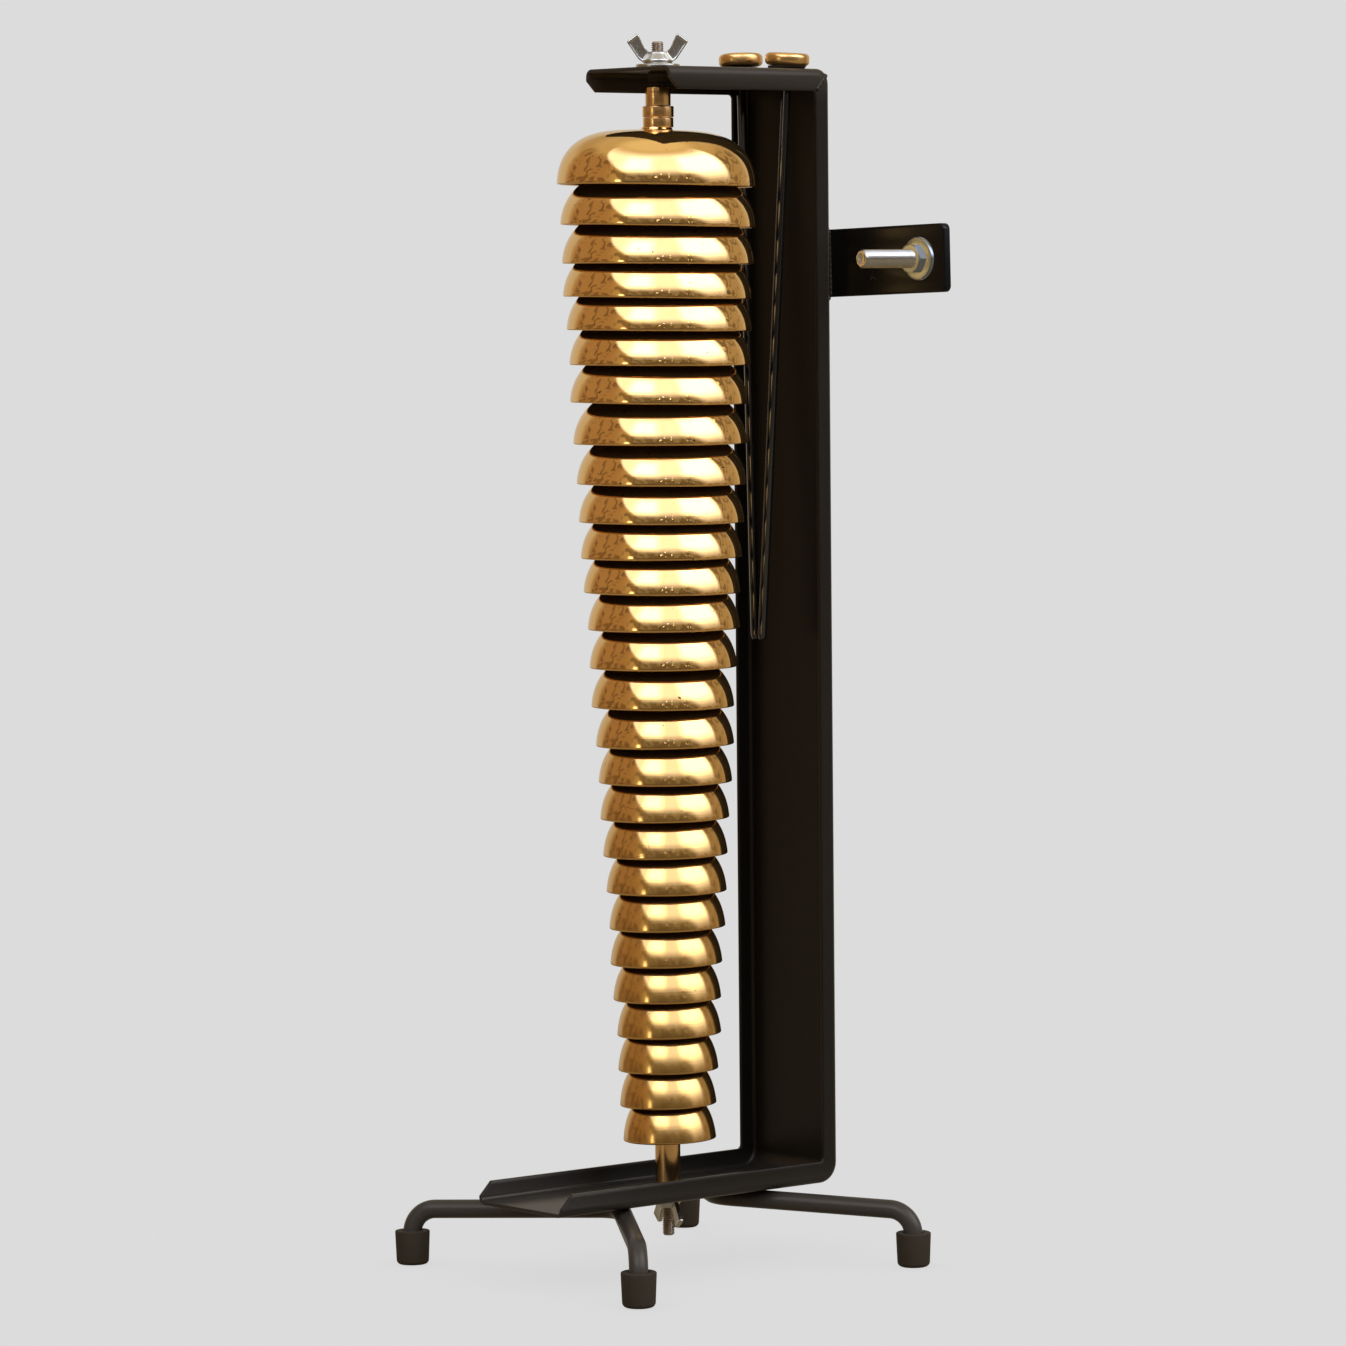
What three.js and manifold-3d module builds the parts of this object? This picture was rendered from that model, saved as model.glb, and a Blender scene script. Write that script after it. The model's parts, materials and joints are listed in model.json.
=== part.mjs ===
// A table-top bell tree. Twenty-seven nested brass cups turn on one threaded spindle, which two wing
// nuts clamp between the arms of a C-shaped frame folded from steel channel. Two bent rods with rubber
// feet carry the frame, two beaters hang in its back, and a flat bracket with a stud reaches out to
// one side. Millimetres, +Z up. Everything is drawn round the spindle's axis with z = 0 on the table,
// and at the end the group is moved so that its origin is the middle of the box it stands in.

import * as THREE from "three";
import { mergeVertices } from "three/addons/utils/BufferGeometryUtils.js";
import Module from "manifold-3d";

const wasm = await Module();
wasm.setup();

// ---- Driving dimensions ----

const GAP = 0.3; // left between two pieces that touch
const EDGE = 0.8; // broken edge on cut and cast steel

const channel = {
  width: 84,
  armFlange: 14.5,
  columnFlange: 13,
  sheet: 2.5,
  foldRadius: 5,
  cornerRadius: 9,
  innerCornerRadius: 3,
  back: 110,
  top: 767.7,
  bottom: 46.8,
  topArmFront: -25,
  topArmChamfer: 7,
  baseArmFront: -122,
  baseArmChamfer: 9,
};
const topWebUnderside = channel.top - channel.sheet;
const baseWebTop = channel.bottom + channel.sheet;

const spindle = { radius: 3.95, holeRadius: 4.6, bottom: 19, top: 784.5, chamfer: 0.8 };

const bells = {
  count: 27,
  largestRadius: 63.4,
  smallestRadius: 29.9,
  swell: 0.75, // how far the row of rims bows out of a straight cone, and back in lower down
  belly: 0.6, // how far its middle stands out of a straight cone
  flare: 0.09, // share of a cup's width lost between its rim and its crown
  tallest: 35.5,
  shortest: 29,
  wall: 2,
  topCrown: 728.4,
  bottomCrown: 110.4,
  sag: 2.6, // the middle of the row hangs this much below an even spacing
  crowding: 2.4, // the upper half stands this much higher, and the lower half lower
  ripple: 3.2, // uneven spacers bunch and spread the upper cups by this much
  rippleCups: 7, // cups in one bunch and spread
  rippleFade: 2.2, // how fast the spacing evens out down the row
  hubRadius: 9.75,
  firstHubHeight: 7.8,
};

const collar = { radius: 10, top: 743.4 };
const tube = { radius: 8.1, boreRadius: 4.6 };
const topBush = { radius: 6.5, length: 9 }; // a black sleeve under the top arm

const wingNut = {
  height: 19.6,
  span: 39.6,
  wingThickness: 3,
  baseRadius: 8.5,
  skirt: 2.4,
  neckRadius: 6.4,
  neckHeight: 9.6,
  neckChamfer: 0.8,
  topTurn: 50, // degrees from the frame's width to the top nut's wings
  baseTurn: 14,
};
const topWasher = { radius: 14, thickness: 2.2 };
const baseWasher = { radius: 8.8, thickness: 1.6 };
const nutBoreRadius = 4.3;

const rod = { radius: 6, footBend: 16, apexBend: 20, apex: 40, droop: 4.5, sides: 12 };
const rodHeight = channel.bottom - GAP - rod.radius;
const feet = { halfSpan: 114.5, front: -120, rear: 109 };
const cap = { radius: 11.25, footRadius: 10.6, height: 22, floor: 4.5, edge: 3 };

const beater = {
  head: new THREE.Vector3(23, 89.5, 774.9),
  tail: new THREE.Vector3(3.2, 81, 400),
  headRadius: 14.3,
  headThickness: 8,
  headEdge: 3,
  socketDepth: 5,
  handleRadius: 3,
};
const grommet = {
  flangeRadius: 12.5,
  footRadius: 9.5,
  neckRadius: 6.7,
  boreRadius: 4.1,
  rise: 1.9,
  drop: 2.4,
};
const grommetHoleRadius = grommet.neckRadius + GAP;

const bracket = { left: -30, right: 147.5, height: 43.5, thickness: 6, corner: 4, z: 645, tilt: 1.4 };
const bracketFront = channel.back + GAP;
const stud = { radius: 5.95, x: 125.5, tip: 60.5, headAcross: 18, headThickness: 7.5, chamfer: 1.2 };
const studWasher = { radius: 13.6, thickness: 2.5 };
const studNut = { across: 17.5, thickness: 6 };

// ---- Finishes ----

function finish(color, roughness, metalness) {
  return new THREE.MeshStandardMaterial({ color, roughness, metalness });
}
const polishedBrass = finish(0xd8a548, 0.16, 1);
const blackSteel = finish(0x2b2825, 0.45, 0.2);
const zincSteel = finish(0xc4c1b8, 0.3, 1);
const blackRubber = finish(0x33312e, 0.85, 0);
const blackLacquer = finish(0x151413, 0.2, 0);

// ---- Helpers ----

const bellTree = new THREE.Group();

function add(name, geometry, material, parent = bellTree) {
  const mesh = new THREE.Mesh(geometry, material);
  mesh.name = name;
  parent.add(mesh);
  return mesh;
}

function toSolid(geometry) {
  const bare = new THREE.BufferGeometry();
  const source = geometry.index ? geometry.toNonIndexed() : geometry;
  bare.setAttribute("position", source.getAttribute("position"));
  const merged = mergeVertices(bare, 1e-3);
  return new wasm.Manifold(
    new wasm.Mesh({
      numProp: 3,
      vertProperties: new Float32Array(merged.attributes.position.array),
      triVerts: new Uint32Array(merged.index.array),
    }),
  );
}

function toGeometry(solid) {
  const mesh = solid.getMesh();
  const geometry = new THREE.BufferGeometry();
  geometry.setAttribute("position", new THREE.BufferAttribute(mesh.vertProperties, 3));
  geometry.setIndex(new THREE.BufferAttribute(mesh.triVerts, 1));
  return geometry;
}

// A piece turned about the Z axis. The outline is drawn as radius against height, and goes once
// round the section anticlockwise.
function turned(outline, segments) {
  const points = outline.getPoints(1);
  return new THREE.LatheGeometry(points, segments).rotateX(Math.PI / 2);
}

// The outline of a plain ring or tube between two heights.
function ringOutline(inner, outer, low, high) {
  const outline = new THREE.Path();
  outline.moveTo(inner, low);
  outline.lineTo(outer, low);
  outline.lineTo(outer, high);
  outline.lineTo(inner, high);
  outline.lineTo(inner, low);
  return outline;
}

// A shape drawn in (y, z) and pushed through the object's width, centred on x = 0. Its rim is
// rounded to the given radius.
function acrossWidth(shape, width, rounding, arcSegments = 4) {
  const geometry = new THREE.ExtrudeGeometry(shape, {
    depth: width - 2 * rounding,
    bevelEnabled: rounding > 0,
    bevelThickness: rounding,
    bevelSize: rounding,
    bevelOffset: -rounding,
    bevelSegments: 3,
    curveSegments: arcSegments,
  });
  geometry.translate(0, 0, rounding - width / 2);
  const turn = new THREE.Matrix4().makeBasis(
    new THREE.Vector3(0, 1, 0),
    new THREE.Vector3(0, 0, 1),
    new THREE.Vector3(1, 0, 0),
  );
  return geometry.applyMatrix4(turn);
}

// A path through stations that an extrusion follows from one to the next, so that its rings fall
// exactly on them.
class StationPath extends THREE.Curve {
  constructor(stations) {
    super();
    this.stations = stations;
  }

  getPoint(t, target = new THREE.Vector3()) {
    const place = THREE.MathUtils.clamp(t, 0, 1) * (this.stations.length - 1);
    const before = Math.min(Math.floor(place), this.stations.length - 2);
    return target.lerpVectors(this.stations[before], this.stations[before + 1], place - before);
  }

  getUtoTmapping(u) {
    return u;
  }
}

// Points along a bar bent at each corner to the radius given for it.
function bentLine(corners, radii, stepsPerBend) {
  const stations = [corners[0]];
  for (let i = 1; i < corners.length - 1; i += 1) {
    const inward = corners[i].clone().sub(corners[i - 1]).normalize();
    const outward = corners[i + 1].clone().sub(corners[i]).normalize();
    const turn = inward.angleTo(outward);
    const reach = radii[i - 1] * Math.tan(turn / 2);
    const start = corners[i].clone().addScaledVector(inward, -reach);
    const side = outward.clone().addScaledVector(inward, -Math.cos(turn)).normalize();
    for (let step = 0; step <= stepsPerBend; step += 1) {
      const angle = (turn * step) / stepsPerBend;
      const point = start.clone();
      point.addScaledVector(inward, radii[i - 1] * Math.sin(angle));
      point.addScaledVector(side, radii[i - 1] * (1 - Math.cos(angle)));
      stations.push(point);
    }
  }
  stations.push(corners[corners.length - 1]);
  return stations;
}

function roundBar(stations, radius, sides) {
  const section = new THREE.Shape();
  for (let i = 0; i < sides; i += 1) {
    const angle = (2 * Math.PI * i) / sides;
    const corner = new THREE.Vector2(Math.cos(angle), Math.sin(angle)).multiplyScalar(radius);
    if (i === 0) section.moveTo(corner.x, corner.y);
    else section.lineTo(corner.x, corner.y);
  }
  section.closePath();
  return new THREE.ExtrudeGeometry(section, {
    steps: stations.length - 1,
    extrudePath: new StationPath(stations),
    bevelEnabled: false,
  });
}

// A flat piece cut to a shape, its faces parallel to XY and centred on z = 0, with broken edges.
function bevelledPlate(shape, thickness) {
  const plate = new THREE.ExtrudeGeometry(shape, {
    depth: thickness - 2 * EDGE,
    bevelThickness: EDGE,
    bevelSize: EDGE,
    bevelOffset: -EDGE,
    bevelSegments: 1,
    curveSegments: 5,
  });
  return plate.translate(0, 0, EDGE - thickness / 2);
}

// A hexagonal blank standing on z = 0.
function hexagonPrism(acrossFlats, height) {
  const radius = acrossFlats / Math.sqrt(3);
  const blank = new THREE.CylinderGeometry(radius, radius, height, 6).rotateY(Math.PI / 6);
  return blank.rotateX(Math.PI / 2).translate(0, 0, height / 2);
}

// ---- Frame ----

// The C as a filled block, inset all round from the channel's outer faces, running out past the arms.
function blockShape(inset, radius, front) {
  const back = channel.back - inset;
  const low = channel.bottom + inset;
  const high = channel.top - inset;
  const shape = new THREE.Shape();
  shape.moveTo(front, low);
  shape.lineTo(back - radius, low);
  shape.absarc(back - radius, low + radius, radius, -Math.PI / 2, 0);
  shape.lineTo(back, high - radius);
  shape.absarc(back - radius, high - radius, radius, 0, Math.PI / 2);
  shape.lineTo(front, high);
  shape.closePath();
  return shape;
}

// What is cut away between the flanges and in front of the arms, with the arms' clipped corners.
function openingShape() {
  const farFront = channel.baseArmFront - channel.width;
  const margin = channel.armFlange;
  const flangeEdge = channel.back - channel.columnFlange;
  const high = channel.top - channel.armFlange;
  const low = channel.bottom + channel.armFlange;
  const radius = channel.innerCornerRadius;
  const shape = new THREE.Shape();
  shape.moveTo(farFront, channel.bottom - margin);
  shape.lineTo(channel.baseArmFront, channel.bottom - margin);
  shape.lineTo(channel.baseArmFront, low - channel.baseArmChamfer);
  shape.lineTo(channel.baseArmFront + channel.baseArmChamfer, low);
  shape.lineTo(flangeEdge - radius, low);
  shape.absarc(flangeEdge - radius, low + radius, radius, -Math.PI / 2, 0);
  shape.lineTo(flangeEdge, high - radius);
  shape.absarc(flangeEdge - radius, high - radius, radius, 0, Math.PI / 2);
  shape.lineTo(channel.topArmFront + channel.topArmChamfer, high);
  shape.lineTo(channel.topArmFront, high + channel.topArmChamfer);
  shape.lineTo(channel.topArmFront, channel.top + margin);
  shape.lineTo(farFront, channel.top + margin);
  shape.closePath();
  return shape;
}

// A short weld bead over the mitre on a flange, where an arm meets the column.
function mitreBead(side, flangeZ, direction) {
  const beadRadius = 1.3;
  const innerY = channel.back - channel.columnFlange + 1;
  const length = channel.columnFlange - channel.foldRadius;
  const bead = new THREE.CapsuleGeometry(beadRadius, length * Math.SQRT2, 2, 8);
  bead.rotateX((direction * Math.PI) / 4);
  bead.translate(
    (side * channel.width) / 2,
    innerY + length / 2,
    flangeZ + (direction * length) / 2,
  );
  return bead;
}

function drill(x, y, z, radius) {
  const depth = 4 * channel.sheet;
  const bit = new THREE.CylinderGeometry(radius, radius, depth, 24).rotateX(Math.PI / 2);
  return bit.translate(x, y, z);
}

function makeFrame() {
  const farFront = channel.baseArmFront - channel.armFlange;
  const cavityFront = farFront - channel.armFlange;
  const innerFold = channel.foldRadius - channel.sheet;
  const block = blockShape(0, channel.cornerRadius, farFront);
  const hollow = blockShape(channel.sheet, channel.cornerRadius - channel.sheet, cavityFront);
  const outside = acrossWidth(block, channel.width, channel.foldRadius);
  const cavity = acrossWidth(hollow, channel.width - 2 * channel.sheet, innerFold);
  const opening = acrossWidth(openingShape(), 2 * channel.width, 0);
  let frame = toSolid(outside).subtract(toSolid(cavity)).subtract(toSolid(opening));
  for (const side of [-1, 1]) {
    const topMitre = channel.top - channel.armFlange + 1;
    const baseMitre = channel.bottom + channel.armFlange - 1;
    frame = frame.add(toSolid(mitreBead(side, topMitre, 1)));
    frame = frame.add(toSolid(mitreBead(side, baseMitre, -1)));
    const hole = beaterAt(channel.top, side);
    frame = frame.subtract(toSolid(drill(hole.x, hole.y, channel.top, grommetHoleRadius)));
  }
  frame = frame.subtract(toSolid(drill(0, 0, channel.top, spindle.holeRadius)));
  frame = frame.subtract(toSolid(drill(0, 0, channel.bottom, spindle.holeRadius)));
  add("frame_channel", toGeometry(frame), blackSteel);
}

// ---- Feet ----

function makeFootRod(name, y, apexY) {
  const tip = cap.floor + GAP;
  const shoulder = rodHeight - rod.droop;
  const corners = [
    new THREE.Vector3(-feet.halfSpan, y, tip),
    new THREE.Vector3(-feet.halfSpan, y, shoulder),
    new THREE.Vector3(0, apexY, rodHeight),
    new THREE.Vector3(feet.halfSpan, y, shoulder),
    new THREE.Vector3(feet.halfSpan, y, tip),
  ];
  const stations = bentLine(corners, [rod.footBend, rod.apexBend, rod.footBend], 5);
  add(name, roundBar(stations, rod.radius, rod.sides), blackSteel);
}

function makeRubberFoot(name, x, y) {
  const bore = rod.radius + GAP;
  const outline = new THREE.Path();
  outline.moveTo(0, 0);
  outline.lineTo(cap.footRadius - cap.edge, 0);
  outline.absarc(cap.footRadius - cap.edge, cap.edge, cap.edge, -Math.PI / 2, 0);
  outline.lineTo(cap.radius, cap.height);
  outline.lineTo(bore, cap.height);
  outline.lineTo(bore, cap.floor);
  outline.lineTo(0, cap.floor);
  add(name, turned(outline, 20), blackRubber).position.set(x, y, 0);
}

function makeFeet() {
  makeFootRod("front_foot_rod", feet.front, -rod.apex);
  makeFootRod("rear_foot_rod", feet.rear, rod.apex);
  makeRubberFoot("foot_front_right", feet.halfSpan, feet.front);
  makeRubberFoot("foot_front_left", -feet.halfSpan, feet.front);
  makeRubberFoot("foot_rear_right", feet.halfSpan, feet.rear);
  makeRubberFoot("foot_rear_left", -feet.halfSpan, feet.rear);
}

// ---- Spindle and its fastenings ----

function makeSpindle() {
  const outline = new THREE.Path();
  outline.moveTo(0, spindle.bottom);
  outline.lineTo(spindle.radius - spindle.chamfer, spindle.bottom);
  outline.lineTo(spindle.radius, spindle.bottom + spindle.chamfer);
  outline.lineTo(spindle.radius, spindle.top - spindle.chamfer);
  outline.lineTo(spindle.radius - spindle.chamfer, spindle.top);
  outline.lineTo(0, spindle.top);
  add("spindle_rod", turned(outline, 20), zincSteel);
}

// One wing, seen from its flat side: it leaves the neck low, sweeps out and up, and ends in a
// rounded tip.
function wingShape(side) {
  const tip = wingNut.span / 2;
  const high = wingNut.height;
  const root = wingNut.neckRadius - 1;
  const shape = new THREE.Shape();
  shape.moveTo(side * root, 2);
  shape.bezierCurveTo(side * 9, 2, side * 12, 6, side * 14.5, 9.5);
  shape.lineTo(side * (tip - 0.6), 15.5);
  shape.bezierCurveTo(side * tip, 17, side * (tip - 1), high - 1.5, side * 16, high);
  shape.bezierCurveTo(side * 12, high, side * 11.5, 15, side * 9.5, 12);
  shape.bezierCurveTo(side * 8.5, 10, side * 7, 8.5, side * root, 8);
  shape.closePath();
  return shape;
}

function wingNutGeometry() {
  const shoulder = wingNut.neckHeight - wingNut.neckChamfer;
  const outline = new THREE.Path();
  outline.moveTo(nutBoreRadius, 0);
  outline.lineTo(wingNut.baseRadius, 0);
  outline.lineTo(wingNut.baseRadius, wingNut.skirt);
  outline.lineTo(wingNut.neckRadius, shoulder);
  outline.lineTo(wingNut.neckRadius - wingNut.neckChamfer, wingNut.neckHeight);
  outline.lineTo(nutBoreRadius, wingNut.neckHeight);
  outline.lineTo(nutBoreRadius, 0);
  let nut = toSolid(turned(outline, 20));
  for (const side of [-1, 1]) {
    const wing = bevelledPlate(wingShape(side), wingNut.wingThickness);
    nut = nut.add(toSolid(wing.rotateX(Math.PI / 2)));
  }
  return toGeometry(nut);
}

function makeFastenings() {
  const topWasherLow = channel.top + GAP;
  const topWasherHigh = topWasherLow + topWasher.thickness;
  const baseWasherHigh = channel.bottom - GAP;
  const baseWasherLow = baseWasherHigh - baseWasher.thickness;
  const topRing = ringOutline(nutBoreRadius, topWasher.radius, topWasherLow, topWasherHigh);
  const baseRing = ringOutline(nutBoreRadius, baseWasher.radius, baseWasherLow, baseWasherHigh);
  add("top_washer", turned(topRing, 28), zincSteel);
  add("base_washer", turned(baseRing, 20), zincSteel);
  const topNut = add("top_wing_nut", wingNutGeometry(), zincSteel);
  topNut.position.z = topWasherHigh + GAP;
  topNut.rotation.z = THREE.MathUtils.degToRad(wingNut.topTurn);
  const baseNut = add("base_wing_nut", wingNutGeometry(), zincSteel);
  baseNut.position.z = baseWasherLow - GAP;
  baseNut.rotation.set(Math.PI, 0, THREE.MathUtils.degToRad(wingNut.baseTurn));
}

function makeSpacers() {
  const lastBellUnderside = bells.bottomCrown - bells.wall - GAP;
  const hubTop = bells.topCrown + bells.firstHubHeight;
  const lower = ringOutline(tube.boreRadius, tube.radius, baseWebTop + GAP, lastBellUnderside);
  const bushTop = topWebUnderside - GAP;
  const bushLow = bushTop - topBush.length;
  const bush = ringOutline(tube.boreRadius, topBush.radius, bushLow, bushTop);
  const upper = ringOutline(tube.boreRadius, tube.radius, collar.top + GAP, bushLow - GAP);
  const ring = ringOutline(tube.boreRadius, collar.radius, hubTop + GAP, collar.top);
  add("lower_tube", turned(lower, 24), polishedBrass);
  add("upper_tube", turned(upper, 24), polishedBrass);
  add("top_bush", turned(bush, 20), blackRubber);
  add("top_collar", turned(ring, 24), polishedBrass);
}

// ---- Bells ----

// A cup's section is a leaning superellipse: a broad flat crown, a full shoulder and a flank that
// widens down to the rim.
function cupPoint(radius, height, degrees) {
  const angle = THREE.MathUtils.degToRad(degrees);
  const rise = Math.sin(angle) ** 0.89;
  const across = radius * Math.sqrt(Math.cos(angle)) * (1 - bells.flare * rise);
  return new THREE.Vector2(across, height * rise);
}

// A cup with its hub standing on the crown, its crown at z = 0. The hub is brazed to the cup and
// reaches up to the underside of the cup above.
function bellGeometry(radius, height, hubHeight, facets) {
  const insideDegrees = [52, 24, 0];
  const outsideDegrees = [0, 18, 38, 62];
  const cup = [];
  for (const degrees of insideDegrees) {
    cup.push(cupPoint(radius - bells.wall, height - bells.wall, degrees));
  }
  for (const degrees of outsideDegrees) cup.push(cupPoint(radius, height, degrees));
  for (const point of cup) point.y -= height;
  const outline = [
    new THREE.Vector2(tube.boreRadius, -bells.wall),
    new THREE.Vector2(bells.hubRadius + 2 * GAP, -bells.wall),
    ...cup,
    new THREE.Vector2(bells.hubRadius, 0),
    new THREE.Vector2(bells.hubRadius, hubHeight),
    new THREE.Vector2(tube.boreRadius, hubHeight),
    new THREE.Vector2(tube.boreRadius, -bells.wall),
  ];
  return new THREE.LatheGeometry(outline, facets).rotateX(Math.PI / 2);
}

// Where along the spindle a cup's crown stands.
function crownHeight(i) {
  const along = i / (bells.count - 1);
  const even = THREE.MathUtils.lerp(bells.topCrown, bells.bottomCrown, along);
  const sag = bells.sag * Math.sin(Math.PI * along);
  const crowding = bells.crowding * Math.sin(2 * Math.PI * along);
  const fade = Math.max(0, 1 - bells.rippleFade * along ** 2);
  const ripple = bells.ripple * fade * Math.sin((2 * Math.PI * i) / bells.rippleCups);
  return even - sag + crowding - ripple;
}

function makeBells() {
  const facetsDownTheRow = [20, 17, 14];
  for (let i = 0; i < bells.count; i += 1) {
    const along = i / (bells.count - 1);
    const bow = bells.swell * Math.sin(2 * Math.PI * along) + bells.belly * Math.sin(Math.PI * along);
    const radius = THREE.MathUtils.lerp(bells.largestRadius, bells.smallestRadius, along) + bow;
    const height = THREE.MathUtils.lerp(bells.tallest, bells.shortest, along);
    const roomAbove = crownHeight(i - 1) - bells.wall - GAP - crownHeight(i);
    const hubHeight = i === 0 ? bells.firstHubHeight : roomAbove;
    const facets = facetsDownTheRow[Math.floor((facetsDownTheRow.length * i) / bells.count)];
    const name = "bell_" + String(i + 1).padStart(2, "0");
    const bell = add(name, bellGeometry(radius, height, hubHeight, facets), polishedBrass);
    bell.position.z = crownHeight(i);
  }
}

// ---- Beaters ----

// Where a beater's leaning axis passes a given height, on the left (-1) or right (1).
function beaterAt(height, side) {
  const down = (beater.head.z - height) / (beater.head.z - beater.tail.z);
  const point = new THREE.Vector3().lerpVectors(beater.head, beater.tail, down);
  point.x *= side;
  return point;
}

function makeBeater(name, side) {
  const half = beater.headThickness / 2;
  const shoulder = beater.headRadius - beater.headEdge;
  const socketRadius = beater.handleRadius + GAP;
  const socketTop = beater.socketDepth - half;
  const head = new THREE.Path();
  head.moveTo(0, socketTop);
  head.lineTo(socketRadius, socketTop);
  head.lineTo(socketRadius, -half);
  head.lineTo(shoulder, -half);
  head.absarc(shoulder, beater.headEdge - half, beater.headEdge, -Math.PI / 2, 0);
  head.absarc(shoulder, half - beater.headEdge, beater.headEdge, 0, Math.PI / 2);
  head.lineTo(0, half);

  const length = beater.head.distanceTo(beater.tail);
  const handle = new THREE.Path();
  const radius = beater.handleRadius;
  handle.moveTo(0, -length);
  handle.lineTo(radius - 1, -length);
  handle.absarc(radius - 1, 1 - length, 1, -Math.PI / 2, 0);
  handle.lineTo(radius, socketTop - GAP);
  handle.lineTo(0, socketTop - GAP);

  const group = new THREE.Group();
  group.position.copy(beaterAt(beater.head.z, side));
  const lean = group.position.clone().sub(beaterAt(beater.tail.z, side)).normalize();
  group.quaternion.setFromUnitVectors(new THREE.Vector3(0, 0, 1), lean);
  bellTree.add(group);
  add("beater_head_" + name, turned(head, 24), polishedBrass, group);
  add("beater_handle_" + name, turned(handle, 14), blackLacquer, group);
}

function makeGrommet(name, side) {
  const seat = channel.top + GAP;
  const under = topWebUnderside - GAP;
  const outline = new THREE.Path();
  outline.moveTo(grommet.boreRadius, under - grommet.drop);
  outline.lineTo(grommet.footRadius, under - grommet.drop);
  outline.lineTo(grommet.footRadius, under);
  outline.lineTo(grommet.neckRadius, under);
  outline.lineTo(grommet.neckRadius, seat);
  outline.lineTo(grommet.footRadius + 1, seat);
  outline.lineTo(grommet.flangeRadius, seat + grommet.rise - 1);
  outline.lineTo(grommet.flangeRadius - 0.6, seat + grommet.rise);
  outline.lineTo(grommet.boreRadius, seat + grommet.rise);
  outline.lineTo(grommet.boreRadius, under - grommet.drop);
  const hole = beaterAt(channel.top, side);
  add("grommet_" + name, turned(outline, 20), blackRubber).position.set(hole.x, hole.y, 0);
}

function makeBeaters() {
  for (const [name, side] of [["left", -1], ["right", 1]]) {
    makeBeater(name, side);
    makeGrommet(name, side);
  }
}

// ---- Side bracket ----

function makeBracket() {
  const low = bracket.z - bracket.height / 2;
  const high = bracket.z + bracket.height / 2;
  const radius = bracket.corner;
  const plate = new THREE.Shape();
  plate.moveTo(bracket.left, low);
  plate.lineTo(bracket.right - radius, low);
  plate.absarc(bracket.right - radius, low + radius, radius, -Math.PI / 2, 0);
  plate.lineTo(bracket.right, high - radius);
  plate.absarc(bracket.right - radius, high - radius, radius, 0, Math.PI / 2);
  plate.lineTo(bracket.left, high);
  plate.closePath();
  const hole = new THREE.Path();
  hole.absarc(stud.x, bracket.z, stud.radius + GAP, 0, 2 * Math.PI);
  plate.holes.push(hole);
  const geometry = bevelledPlate(plate, bracket.thickness).rotateX(Math.PI / 2);
  geometry.translate(-stud.x, bracketFront + bracket.thickness / 2, -bracket.z);
  geometry.rotateY(THREE.MathUtils.degToRad(-bracket.tilt));
  geometry.translate(stud.x, 0, bracket.z);
  add("side_bracket", geometry, blackSteel);
}

// The stud's pieces are turned about Z and laid down so that their own +Z looks to the front, -Y.
function alongFront(geometry, y) {
  return geometry.rotateX(Math.PI / 2).translate(stud.x, y, bracket.z);
}

function makeStud() {
  const bracketBack = bracketFront + bracket.thickness;
  const length = bracketBack + GAP + stud.headThickness - stud.tip;
  const head = hexagonPrism(stud.headAcross, stud.headThickness);
  const insideHead = stud.headThickness / 2;
  const outline = new THREE.Path();
  outline.moveTo(0, insideHead);
  outline.lineTo(stud.radius, insideHead);
  outline.lineTo(stud.radius, length - stud.chamfer);
  outline.lineTo(stud.radius - stud.chamfer, length);
  outline.lineTo(0, length);
  const bolt = toSolid(head).add(toSolid(turned(outline, 24)));
  add("stud_bolt", alongFront(toGeometry(bolt), stud.tip + length), zincSteel);

  const bore = stud.radius + GAP;
  const washerRing = ringOutline(bore, studWasher.radius, 0, studWasher.thickness);
  add("stud_washer", alongFront(turned(washerRing, 28), bracketFront - GAP), zincSteel);

  const nutBlank = hexagonPrism(studNut.across, studNut.thickness);
  const nutBore = ringOutline(0, bore, -1, studNut.thickness + 1);
  const nut = toSolid(nutBlank).subtract(toSolid(turned(nutBore, 24)));
  const nutBack = bracketFront - studWasher.thickness - 2 * GAP;
  add("stud_nut", alongFront(toGeometry(nut), nutBack), zincSteel);
}

// ---- Assembly ----

makeFrame();
makeFeet();
makeSpindle();
makeFastenings();
makeSpacers();
makeBells();
makeBeaters();
makeBracket();
makeStud();

bellTree.updateMatrixWorld(true);
const box = new THREE.Box3().setFromObject(bellTree, true);
const middle = box.getCenter(new THREE.Vector3());
bellTree.position.set(-middle.x, -middle.y, -box.min.z);

export default bellTree;
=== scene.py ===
"""The looks of a table-top bell tree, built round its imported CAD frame.

Twenty-seven polished brass cups stand nested on a threaded spindle in a black C-shaped stand. Every
CAD node is stood for by a finer piece that rides on the same body. Lengths are in millimetres, apart
from meshes and materials, which are in metres; heights are above the table.
"""

import json
from math import acos, copysign, cos, degrees, floor, hypot, pi, radians, sin, sqrt, tan

import bmesh
import bpy
from mathutils import Matrix, Vector


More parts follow.
